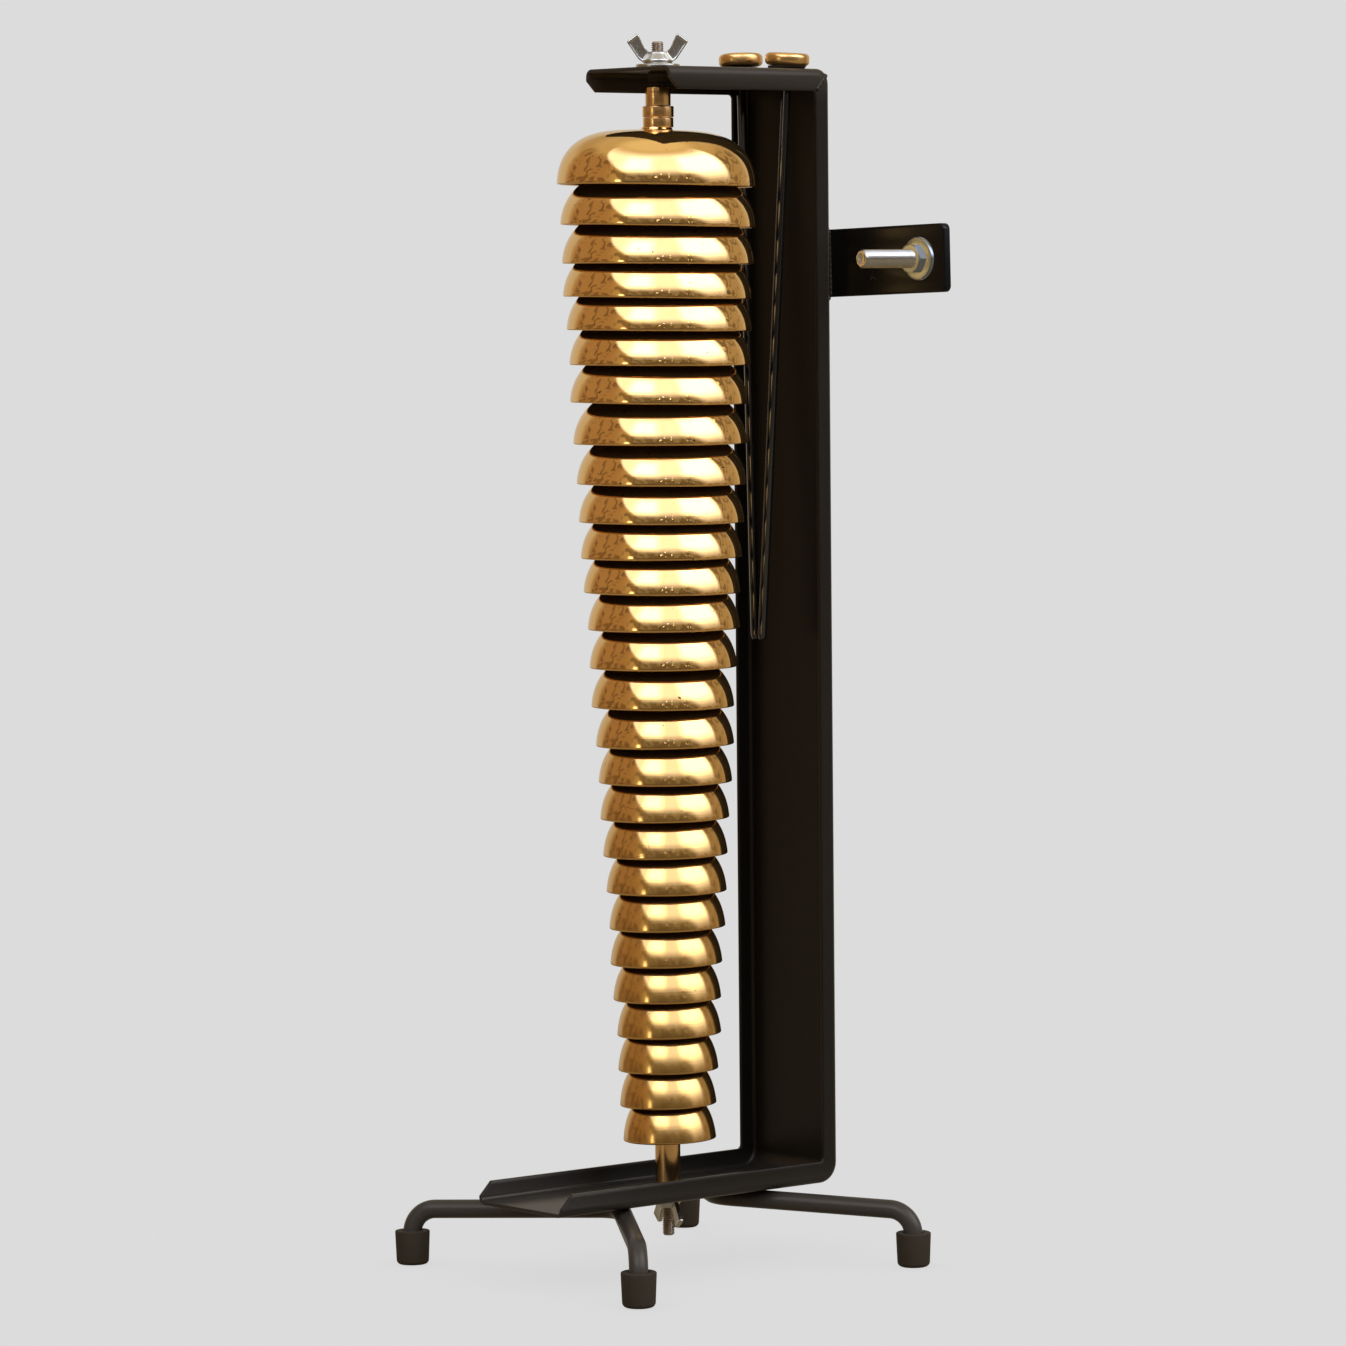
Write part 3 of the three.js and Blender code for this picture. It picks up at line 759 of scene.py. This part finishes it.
def make_mitre_welds():
    """Beads up the mitres of the two top corners; those at the base are ground flush."""
    high = box_mm("frame_channel")[1]
    centre = centre_mm("frame_channel").x
    half = CHANNEL_WIDTH / 2 - 0.5
    near = COLUMN_FLANGE - 0.6
    far = 4.0
    bead = 1.5
    for label, side in (("right", 1), ("left", -1)):
        x = centre + side * half
        start = Vector((x, high.y - near, high.z - near * ARM_FLANGE / COLUMN_FLANGE))
        end = Vector((x, high.y - far, high.z - far))
        weld("mitre_weld_" + label, start, end, bead)


# ---- Feet ----

def make_foot_rod(name, end, apex_y):
    low, high = box_mm(name)
    height = high.z - ROD_RADIUS
    left = centre_mm("foot_" + end + "_left")
    right = centre_mm("foot_" + end + "_right")
    middle = (left.x + right.x) / 2
    corners = [
        Vector((left.x, left.y, low.z)),
        Vector((left.x, left.y, height - ROD_DROOP)),
        Vector((middle, SPINDLE.y + apex_y, height)),
        Vector((right.x, right.y, height - ROD_DROOP)),
        Vector((right.x, right.y, low.z)),
    ]
    points, faces = swept(bent_line(corners, ROD_BENDS, 14), ROD_RADIUS, 40)
    new_piece(end + "_rod", points, faces, BLACK_STEEL, [name])
    make_rod_welds(end, middle, SPINDLE.y + apex_y * 1.06)


def make_rod_welds(end, x, y):
    """A bead on either side of a foot rod, under the base."""
    plate = box_mm("frame_channel")[0].z
    length = 34.0
    bead = 1.7
    for k, offset in enumerate((-1, 1)):
        start = Vector((x - length / 2, y + offset * ROD_RADIUS * 0.72, plate - 0.9))
        weld(end + "_rod_weld_" + str(k + 1), start, start + Vector((length, 0, 0)), bead)


def make_rubber_foot(name, lean_x, lean_y):
    low, high = box_mm(name)
    radius = (high.x - low.x) / 2
    height = high.z - low.z
    sole = radius - 0.9
    bore = ROD_RADIUS + 0.05
    corners = [
        (0, 0.4), (sole - 4.5, 0.4), (sole - 3.8, 0, 0.4), (sole, 0, 3.0), (radius, height, 0.9),
        (bore + 0.8, height, 0.5), (bore, height - 1.2, 0.4), (bore, 5.0), (0, 5.0),
    ]
    points, faces = turned(fillet(corners), 64)
    lean = rotation(lean_x, "X") @ rotation(lean_y, "Y")
    centre = centre_mm(name)
    top = Matrix.Translation((0, 0, height))
    place = Matrix.Translation((centre.x, centre.y, low.z)) @ top @ lean @ top.inverted()
    new_piece(name + "_cap", placed(points, place), faces, RUBBER, [name])


def make_feet():
    make_foot_rod("front_foot_rod", "front", -ROD_APEX)
    make_foot_rod("rear_foot_rod", "rear", ROD_APEX)
    for name, lean_x, lean_y in FOOT_LEANS:
        make_rubber_foot("foot_" + name, lean_x, lean_y)


# ---- Threads, nuts and washers ----

def thread_rows(radius, pitch, low, high, plain, sides=36, rows_per_turn=8):
    """Rings of a threaded rod along Z. Between the two heights in plain it has no rings."""
    depth = 0.55 * pitch
    chamfer = 1.1
    heights = []
    z = low
    while z < high - 1e-6:
        heights.append(z)
        leap = plain[0] - 0.5 <= z < plain[1]
        z = plain[1] if leap and plain[1] > z else z + pitch / rows_per_turn
    heights.append(high)
    rows = []
    for z in heights:
        row = []
        for k in range(sides):
            turn = z / pitch - k / sides
            crest = abs(2 * (turn - floor(turn)) - 1)
            ridge = radius - depth * min(1.0, max(0.0, 1.35 * (1 - crest) - 0.15))
            end = radius - chamfer + min(z - low, high - z)
            row.append(Vector((min(ridge, end), 2 * pi * k / sides, z)))
        rows.append(row)
    return rows


def thread_mesh(rows, recess):
    """Closes thread rows into a solid whose ends have a shallow turned recess."""
    sides = len(rows[0])
    points = []
    for row in rows:
        points += [Vector((p.x * cos(p.y), p.x * sin(p.y), p.z)) for p in row]
    rings = ring_numbers(len(rows), sides)
    faces = bands(rings)
    for end, inward in ((0, 1), (-1, -1)):
        ring = rings[end]
        height = rows[end][0].z
        lip = rows[end][0].x
        for radius, depth in ((lip * 0.72, 0.0), (lip * 0.5, recess)):
            inner_ring = list(range(len(points), len(points) + sides))
            points += circle(radius, height + inward * depth, sides)
            faces += bands([ring, inner_ring])
            ring = inner_ring
        faces.append(ring)
    return points, faces


def make_spindle():
    low, high = box_mm("spindle_rod")
    plain = (low.z + 36, high.z - 26)
    rows = thread_rows(SPINDLE_RADIUS, SPINDLE_PITCH, low.z, high.z, plain)
    points, faces = thread_mesh(rows, 0.6)
    points = placed(points, on_spindle(0))
    new_piece("threaded_spindle", points, faces, THREAD, ["spindle_rod"], crease=60.0)


def make_washer(name, node):
    low, high = box_mm(node)
    corners = plain_section(4.25, (high.x - low.x) / 2, high.z - low.z, 0.3, 0.7)
    turned_ring(name, corners, on_spindle(low.z), ZINC, [node], node, sides=72)


def wing_points(side):
    """One wing of a nut as a closed plate in the X-Z plane, its faces dished a little."""
    corners = [
        (2.0, 1.2), (9.4, 0.9, 2.0), (12.2, 3.0, 5.0), (19.8, 14.2, 1.3), (12.5, 19.6, 1.3),
        (8.2, 10.4, 6.0), (5.0, 7.0, 2.0), (2.0, 6.6),
    ]
    rim = fillet(corners, closed=True, step=12.0)
    middle = Vector((11.0, 9.0))
    layers = [(1.0, 0.6), (0.985, 1.15), (0.95, 1.45), (0.86, 1.5), (0.78, 1.25), (0.4, 1.15)]
    profile = list(reversed(layers)) + [(scale, -depth) for scale, depth in layers]
    points = []
    for scale, depth in profile:
        for spot in rim:
            flat = middle + (spot - middle) * scale
            points.append(Vector((side * flat.x, depth, flat.y)))
    rings = ring_numbers(len(profile), len(rim))
    return points, bands(rings) + [rings[0], rings[-1]]


def make_wing_nut(name, node, flip, angle):
    """A cast wing nut: body and wings are melted together into one skin with soft corners."""
    low, high = box_mm(node)
    bore = 4.15
    corners = [
        (bore, 0, 0.3), (9.3, 0, 0.6), (9.5, 2.2, 1.2), (6.6, 6.2, 2.0), (5.9, 7.6, 0.7),
        (bore, 7.6, 0.3),
    ]
    hub = turned(fillet(corners, closed=True), 56, closed=True)
    points, faces = joined([hub, wing_points(1), wing_points(-1)])
    place = on_spindle(high.z if flip else low.z) @ rotation(angle, "Z")
    if flip:
        place = place @ rotation(180, "X")
    piece = new_piece(name, placed(points, place), faces, ZINC, [node], node)
    melt = piece.modifiers.new("melt", "REMESH")
    melt.mode = "VOXEL"
    melt.voxel_size = 0.27 * MM
    ease = piece.modifiers.new("ease", "SMOOTH")
    ease.factor = 0.5
    ease.iterations = 7
    settle(piece)
    smooth(piece.data, 60.0)


def make_hexagon(name, node, across, height, bore, place, material):
    """A hexagon with its corners turned off at both faces, so that the flats end in arcs."""
    sides = 72
    turned_off = across / 2 - 0.1
    rows = ("bore_low", "face_low", "side_low", "side_high", "face_high", "bore_high")
    points = []
    for row in rows:
        for k in range(sides):
            angle = 2 * pi * k / sides
            slice_angle = (angle % (pi / 3)) - pi / 6
            corner = across / 2 / cos(slice_angle)
            drop = max(0.05, (corner - turned_off) * tan(radians(30)))
            radius = bore if row.startswith("bore") else corner
            radius = turned_off if row.startswith("face") else radius
            z = 0.0 if row.endswith("low") else height
            z += {"side_low": drop, "side_high": -drop}.get(row, 0.0)
            points.append(Vector((radius * cos(angle), radius * sin(angle), z)))
    rings = ring_numbers(len(rows), sides)
    faces = bands(rings + rings[:1])
    return new_piece(name, placed(points, place), faces, material, [node], crease=25.0)


# ---- Brass tubes on the spindle ----

def make_tube(name, node):
    """A turned spacer tube."""
    low, high = box_mm(node)
    corners = plain_section(BORE_RADIUS, widest_radius(node), high.z - low.z, 0.35, 0.45)
    turned_ring(name, corners, on_spindle(low.z), DRAWN_BRASS, [node], sides=72, crease=50.0)


def make_bush():
    """The black sleeve between the upper tube and the top arm, with a turned-in waist."""
    low, high = box_mm("top_bush")
    radius = widest_radius("top_bush")
    height = high.z - low.z
    waist = radius - 0.6
    corners = [
        (BORE_RADIUS, 0, 0.2), (radius, 0, 0.6), (radius, 2.0, 0.5), (waist, 2.6, 0.5),
        (waist, height - 2.6, 0.5), (radius, height - 2.0, 0.5), (radius, height, 0.4),
        (BORE_RADIUS, height, 0.2),
    ]
    turned_ring("top_bush_sleeve", corners, on_spindle(low.z), RUBBER, ["top_bush"])


# ---- Bells ----

def cup_curve(radius, height, first, last, steps, flare, onset):
    """Part of the cup's section, by angle in degrees: 90 is the crown and 0 the rim.

    flare is the share of its width lost to the crown, and a higher onset keeps the rim upright.
    """
    curve = []
    for k in range(steps + 1):
        angle = radians(first + (last - first) * k / steps)
        rise = sin(angle) ** 0.89
        across = radius * sqrt(max(0.0, cos(angle))) * (1 - flare * rise ** onset)
        curve.append(Vector((across, height * rise)))
    return curve


def crown_angle(radius):
    """The angle at which the cup's curve meets the hub."""
    return degrees(acos((HUB_RADIUS / radius) ** 2))


def cup_outline(radius, height, flare, onset):
    """The cup's section from its bore over the crown to the rim and back inside.

    Also tells at which of its points the unpolished inside begins.
    """
    inner_radius = radius - CUP_WALL
    inner_height = height - CUP_WALL
    first, last = crown_angle(radius), crown_angle(inner_radius)
    outside = cup_curve(radius, height, first, CUP_RIM_ANGLE, 34, flare, onset)
    inside = cup_curve(inner_radius, inner_height, CUP_RIM_ANGLE, last, 20, flare, onset)
    rim = [(radius, 0.0, RIM_ROUND), (inner_radius, 0.0, RIM_ROUND)]
    rim = fillet([tuple(outside[-1])] + rim + [tuple(inside[0])], step=22.0)[1:-1]
    boss = [
        Vector((CUP_BORE_RADIUS, height + BOSS_RISE)),
        Vector((HUB_RADIUS, height + BOSS_RISE)),
        Vector((HUB_RADIUS + 0.35, height + 0.6)),
        Vector((HUB_RADIUS + 1.5, height + 0.05)),
    ]
    outside = [p for p in outside if p.x > HUB_RADIUS + 2.2]
    bore = Vector((CUP_BORE_RADIUS, inner_height))
    inside_from = len(boss) + len(outside) + len(rim) - 1
    return boss + outside + rim + inside + [bore], inside_from


def make_bell(index):
    """One cup with its spacer. It leans to one side, and sits a little off the spindle's axis."""
    name = f"bell_{index + 1:02d}"
    low, high = box_mm(name)
    along = index / (BELL_COUNT - 1)
    height = CUP_HEIGHTS[0] + (CUP_HEIGHTS[1] - CUP_HEIGHTS[0]) * along
    flare = TOP_CUP_FLARE if index == 0 else CUP_FLARE
    outline, inside_from = cup_outline(widest_radius(name), height, flare, 1.6 - 0.6 * along)
    points, faces = turned([tuple(p) for p in outline], CUP_SIDES, closed=True)
    tilt = CUP_TILTS[0] + (CUP_TILTS[1] - CUP_TILTS[0]) * along + CUP_WOBBLE * sin(2.4 * index)
    lean = rotation(tilt, -TO_CAMERA)
    crown = Matrix.Translation((0, 0, height))
    slack = -1.0 if index == 0 else 0.6 * sin(1.7 * index) + along - 0.5
    play = Matrix.Translation(TO_RIGHT * CUP_PLAY * slack)
    place = play @ on_spindle(low.z) @ crown @ lean @ crown.inverted()
    cup = new_piece("cup_" + name[-2:], placed(points, place), faces, BRASS, [name], name, crease=40.0)
    # The inside takes the darker brass, painted as shade for the hollow under the cup.
    cup.data.materials.append(SHADED_INNER_BRASS)
    for face in cup.data.polygons:
        if face.index >= inside_from * CUP_SIDES:
            face.material_index = 1
    make_spacer(name, low.z + height + BOSS_RISE, high.z)


def make_spacer(name, low, high):
    """The loose sleeve between a cup and the one above it."""
    corners = plain_section(BORE_RADIUS, HUB_RADIUS, high - low, 0.3, 0.5)
    turned_ring("spacer_" + name[-2:], corners, on_spindle(low), DRAWN_BRASS, body=name, crease=50.0)


# ---- Beaters ----

def beater_axis(side):
    """Where a beater's head stands and the way its handle points up, from its joint."""
    joint = next(j for j in frame["joints"] if j["name"] == "beater_" + side + "_lift")
    up = Vector(joint["axis"]).normalized()
    return centre_mm("beater_head_" + side) - up * BEATER_DROP[side], up


def make_beater_head(side, place):
    radius = BEATER_HEAD_RADIUS
    half = BEATER_HEAD_HALF
    socket = 3.2
    crown = 0.35
    corners = [
        (0, half + crown), (radius * 0.45, half + crown * 0.8), (radius, half, 2.9),
        (radius + 0.15, 0, 6.0), (radius, -half, 2.9), (socket + 1.0, -half, 0.3),
        (socket, -half + 1.0, 0.2), (socket, 1.4), (0, 1.4),
    ]
    points, faces = turned(fillet(corners, step=10.0), 96)
    node = "beater_head_" + side
    new_piece(node + "_disc", placed(points, place), faces, SATIN_BRASS, [node], "beater_" + side)


def make_beater_handle(side, place, length):
    rod = BEATER_ROD_RADIUS
    corners = [
        (0, -length), (rod - 0.6, -length, 1.2), (rod, -length + 3.0, 4.0), (rod, -length * 0.5),
        (rod, -8.0, 3.0), (rod - 0.25, -6.5, 2.0), (rod - 0.25, 1.2), (0, 1.2),
    ]
    points, faces = turned(fillet(corners, step=12.0), 40)
    node = "beater_handle_" + side
    new_piece(node + "_rod", placed(points, place), faces, LACQUER, [node], "beater_" + side)


def make_beater(side):
    centre, up = beater_axis(side)
    turn = Vector((0, 0, 1)).rotation_difference(up).to_matrix().to_4x4()
    place = Matrix.Translation(centre) @ turn
    tail = box_mm("beater_handle_" + side)[0].z
    make_beater_head(side, place)
    make_beater_handle(side, place, (centre.z - tail) / up.z)


def make_grommet(side):
    """A rubber ring with a wide lip above the arm's web and a narrower one under it."""
    node = "grommet_" + side
    low, high = box_mm(node)
    seat = box_mm("frame_channel")[1].z - low.z
    under = seat - SHEET
    total = high.z - low.z + 0.3
    bore = 4.1
    neck = GROMMET_HOLE_RADIUS - 0.05
    corners = [
        (bore, 0, 0.8), (9.5, 0, 0.9), (9.5, under, 0.5), (neck, under, 0.2), (neck, seat, 0.2),
        (11.0, seat, 0.5), (12.6, total - 0.9, 0.9), (12.0, total, 0.5), (5.2, total, 0.6),
        (bore, total - 1.0, 0.5),
    ]
    middle = centre_mm(node)
    place = Matrix.Translation((middle.x, middle.y, low.z))
    turned_ring(node + "_ring", corners, place, RUBBER, [node])


# ---- Side bracket and stud ----

def make_bracket():
    """The flat plate behind the column: it runs out level with the stud, tilted up a little."""
    low, high = box_mm("side_bracket")
    hub = centre_mm("stud_washer")
    corner = 4.0
    left = low.x - hub.x
    right = high.x - hub.x
    half = PLATE_HEIGHT / 2
    corners = [(left, -half, 1.0), (right, -half, corner), (right, half, corner), (left, half, 1.0)]
    outline = fillet(corners, closed=True, step=10.0)
    place = Matrix.Translation((hub.x, 0, hub.z)) @ rotation(-PLATE_TILT, "Y")
    points = [place @ Vector((p.x, y, p.y)) for y in (low.y, high.y) for p in outline]
    rings = ring_numbers(2, len(outline))
    faces = bands(rings) + rings
    piece = new_piece("bracket_plate", points, faces, GLOSS_BLACK, ["side_bracket"])
    soften_edges(piece, 0.9, segments=3)
    hide_from_mirrors(piece)
    make_bracket_welds(place, left, half, low.y)


def make_bracket_welds(place, left, half, front):
    """Beads where the plate meets the column's back: along its two long edges and up its side."""
    column = centre_mm("frame_channel").x + CHANNEL_WIDTH / 2 - centre_mm("stud_washer").x
    for name, up in (("low", -1), ("high", 1)):
        z = up * (half + 0.6)
        start = place @ Vector((left + 3, front - 0.4, z))
        weld("bracket_weld_" + name, start, place @ Vector((column - 4, front - 0.4, z)), 1.5)
    side = column - FOLD_RADIUS * 0.55
    bottom = place @ Vector((side, front - 0.8, 1 - half))
    weld("bracket_weld_side", bottom, place @ Vector((side, front - 0.8, half - 1)), 1.6)


def make_stud():
    """The bolt through the plate, its head behind and its thread to the front, with washer and nut."""
    bolt_low, bolt_high = box_mm("stud_bolt")
    washer_low, washer_high = box_mm("stud_washer")
    nut_low, nut_high = box_mm("stud_nut")
    middle = centre_mm("stud_washer")
    bore = STUD_RADIUS + 0.3

    place = facing_front(middle.x, bolt_high.y, middle.z)
    rows = thread_rows(STUD_RADIUS, STUD_PITCH, 2.0, bolt_high.y - bolt_low.y, (2.0, 15.0), sides=48)
    points, faces = thread_mesh(rows, 1.1)
    thread = new_piece("stud_thread", placed(points, place), faces, ZINC, crease=60.0)
    make_hexagon("stud_head", "stud_bolt", STUD_HEAD_ACROSS, STUD_HEAD_THICKNESS, 3.0, place, ZINC)

    radius = (washer_high.z - washer_low.z) / 2
    corners = plain_section(bore, radius, washer_high.y - washer_low.y, 0.3, 0.9)
    place = facing_front(middle.x, washer_high.y, middle.z)
    node = "stud_washer"
    # The washer and the nut take the darker copy of the zinc, painted as shade.
    washer = turned_ring(node + "_ring", corners, place, SHADED_ZINC, [node], sides=80)

    thickness = nut_high.y - nut_low.y
    place = facing_front(middle.x, nut_high.y, middle.z)
    name = "stud_hex_nut"
    nut = make_hexagon(name, "stud_nut", STUD_NUT_ACROSS, thickness, bore - 0.2, place, SHADED_ZINC)
    for piece in (thread, washer, nut):
        hide_from_mirrors(piece)


# ---- Camera, floor and light ----

def make_camera():
    forward = -TO_CAMERA * cos(CAMERA_PITCH) + Vector((0, 0, -sin(CAMERA_PITCH)))
    up = TO_RIGHT.cross(forward)
    right = TO_RIGHT * cos(CAMERA_ROLL) + up * sin(CAMERA_ROLL)
    above = up * cos(CAMERA_ROLL) - TO_RIGHT * sin(CAMERA_ROLL)
    target = SPINDLE + TO_RIGHT * CAMERA_TARGET_SHIFT + Vector((0, 0, CAMERA_TARGET_HEIGHT))
    data = bpy.data.cameras.new("camera")
    data.sensor_width = SENSOR_WIDTH
    data.lens = CAMERA_LENS
    data.clip_end = 200.0
    camera = bpy.data.objects.new("camera", data)
    turn = Matrix((right, above, -forward)).transposed().to_4x4()
    camera.matrix_world = Matrix.Translation((target - forward * CAMERA_DISTANCE) * MM) @ turn
    bpy.context.scene.collection.objects.link(camera)
    bpy.context.scene.camera = camera


def make_floor():
    """A plain pale floor the shade of the backdrop, with a painted shadow where something stands on it:
    ambient occlusion dims its glow.
    """
    reach = 40.0
    below_soles = -0.0002
    sides = 48
    mesh = bpy.data.meshes.new("floor")
    mesh.from_pydata(circle(reach, below_soles, sides), [], [range(sides)])
    material = bpy.data.materials.new("pale_floor")
    material.use_nodes = True
    look = Shader(material.node_tree)
    look.tree.nodes.clear()
    # Painted contact shadow: ambient occlusion dims the floor's glow by up to a tenth near the parts.
    shade = look.add("ShaderNodeAmbientOcclusion", {"Distance": 0.09}, samples=8)
    strength = look.scale_to(shade.outputs["AO"], 0.90, 1.0)
    glow = look.add("ShaderNodeEmission", {"Color": BACKDROP, "Strength": strength})
    look.add("ShaderNodeOutputMaterial", {"Surface": glow.outputs[0]})
    mesh.materials.append(material)
    floor = bpy.data.objects.new("floor", mesh)
    floor.visible_glossy = False
    floor.visible_diffuse = False
    bpy.context.scene.collection.objects.link(floor)


def patch(look, around, height, centre, half_width, low, high, soft):
    """A soft-edged window in the studio's dome, in degrees round and above the camera's direction."""
    offset = look.math("ABSOLUTE", look.math("SUBTRACT", around, centre))
    inside = look.invert(look.step(offset, half_width - soft, half_width + soft))
    above = look.step(height, low - soft, low + soft)
    below = look.invert(look.step(height, high - soft, high + soft))
    return look.times(inside, look.times(above, below))


def key_window(look, around, height):
    """The big softbox: its left edge leans outward above, and its lower edge drops on the right."""
    rise = look.math("MAXIMUM", look.math("SUBTRACT", height, 20.0), -12.0)
    leaning = look.plus(around, look.times(rise, 1.4))
    left = look.step(leaning, -45.0, -36.0)
    right = look.invert(look.step(around, 91.0, 100.0))
    drop = look.times(look.step(around, 38.0, 66.0), 11.0)
    bottom = look.step(look.plus(height, drop), 12.0, 28.0)
    top = look.invert(look.step(height, 50.0, 70.0))
    return look.times(look.times(left, right), look.times(bottom, top))


def studio_walls(look, direction, around, height):
    """Warm walls that change round the room, cluttered with dark shapes, and a screen behind."""
    far_left = look.mix(look.step(height, -6.0, 8.0), (0.26, 0.17, 0.10), (0.42, 0.28, 0.17))
    left = look.mix(look.step(around, -68.0, -46.0), far_left, (0.55, 0.44, 0.28))
    front = look.mix(look.step(height, -3.0, 10.0), (0.10, 0.09, 0.08), (0.29, 0.26, 0.22))
    walls = look.mix(look.step(around, -44.0, -34.0), left, front)
    walls = look.mix(look.step(around, 42.0, 66.0), walls, (0.40, 0.33, 0.27))
    walls = look.mix(look.step(around, 92.0, 106.0), walls, (0.46, 0.38, 0.28))
    clutter = look.noise(direction, 3.6, detail=1.6, distortion=1.8)
    cluttered = look.mix(0.62, walls, (0.09, 0.05, 0.025))
    walls = look.mix(look.step(clutter, 0.49, 0.58), walls, cluttered)
    screen = look.mix(look.step(height, 22.0, 34.0), (0.62, 0.57, 0.48), (0.50, 0.41, 0.28))
    behind = look.step(look.math("ABSOLUTE", around), 122.0, 138.0)
    return look.mix(behind, walls, screen)


def small_sparks(look, direction):
    """Points of light scattered over the whole dome."""
    cells = look.add("ShaderNodeTexVoronoi", {"Vector": direction, "Scale": 16.0})
    return look.invert(look.step(cells.outputs["Distance"], 0.11, 0.17))


def studio_dome(look, direction):
    """The studio by direction: table, walls, ceiling, the big softbox, a lamp and sparks."""
    ahead = look.vector("DOT_PRODUCT", direction, tuple(TO_CAMERA))
    right = look.vector("DOT_PRODUCT", direction, tuple(TO_RIGHT))
    around = look.times(look.math("ARCTAN2", right, ahead), degrees(1))
    height = look.times(look.math("ARCSINE", look.split(direction)[2]), degrees(1))

    walls = studio_walls(look, direction, around, height)
    ceiling = look.mix(look.step(height, 58.0, 76.0), (0.62, 0.54, 0.40), (0.90, 0.84, 0.72))
    sky = look.mix(look.step(height, 38.0, 52.0), walls, ceiling)
    table = look.mix(look.step(height, -60.0, -8.0), (0.26, 0.22, 0.17), (0.36, 0.30, 0.23))
    dome = look.mix(look.step(height, -9.0, -3.0), table, sky)

    hot_left = patch(look, around, height, -24.0, 18.0, 22.0, 50.0, 9.0)
    hot_right = patch(look, around, height, 62.0, 30.0, 18.0, 52.0, 8.0)
    glare = look.math("MAXIMUM", hot_left, hot_right)
    softbox = look.mix(glare, (1.7, 1.85, 2.6), (4.2, 4.4, 5.2))
    dome = look.mix(key_window(look, around, height), dome, softbox)
    lamp = patch(look, around, height, -45.0, 3.0, 0.0, 7.0, 2.0)
    dome = look.mix(lamp, dome, (3.6, 3.5, 3.3))
    under_softbox = patch(look, around, height, 22.0, 26.0, 8.0, 22.0, 3.0)
    sparks = look.times(small_sparks(look, direction), under_softbox)
    return look.mix(sparks, dome, (6.5, 6.7, 7.5))


def light_studio():
    """Lights the scene by the studio's dome; the camera itself sees a plain backdrop."""
    world = bpy.data.worlds.new("studio")
    bpy.context.scene.world = world
    world.use_nodes = True
    look = Shader(world.node_tree)
    look.tree.nodes.clear()
    dome = studio_dome(look, look.add("ShaderNodeTexCoord").outputs["Generated"])
    rays = look.add("ShaderNodeLightPath")
    seen = look.mix(rays.outputs["Is Camera Ray"], dome, BACKDROP)
    glow = look.add("ShaderNodeBackground", {"Color": seen})
    look.add("ShaderNodeOutputWorld", {"Surface": glow.outputs[0]})


# ---- Assembly ----

make_channel()
make_mitre_welds()
make_feet()
make_spindle()
make_washer("top_flat_washer", "top_washer")
make_washer("base_flat_washer", "base_washer")
make_wing_nut("top_cast_nut", "top_wing_nut", flip=False, angle=50)
make_wing_nut("base_cast_nut", "base_wing_nut", flip=True, angle=-14)
make_tube("lower_spacer_tube", "lower_tube")
make_tube("upper_spacer_tube", "upper_tube")
make_tube("top_spacer_collar", "top_collar")
make_bush()
for bell_index in range(BELL_COUNT):
    make_bell(bell_index)
for beater_side in ("left", "right"):
    make_beater(beater_side)
    make_grommet(beater_side)
make_bracket()
make_stud()

make_camera()
make_floor()
light_studio()
bpy.context.scene.view_settings.view_transform = "Standard"
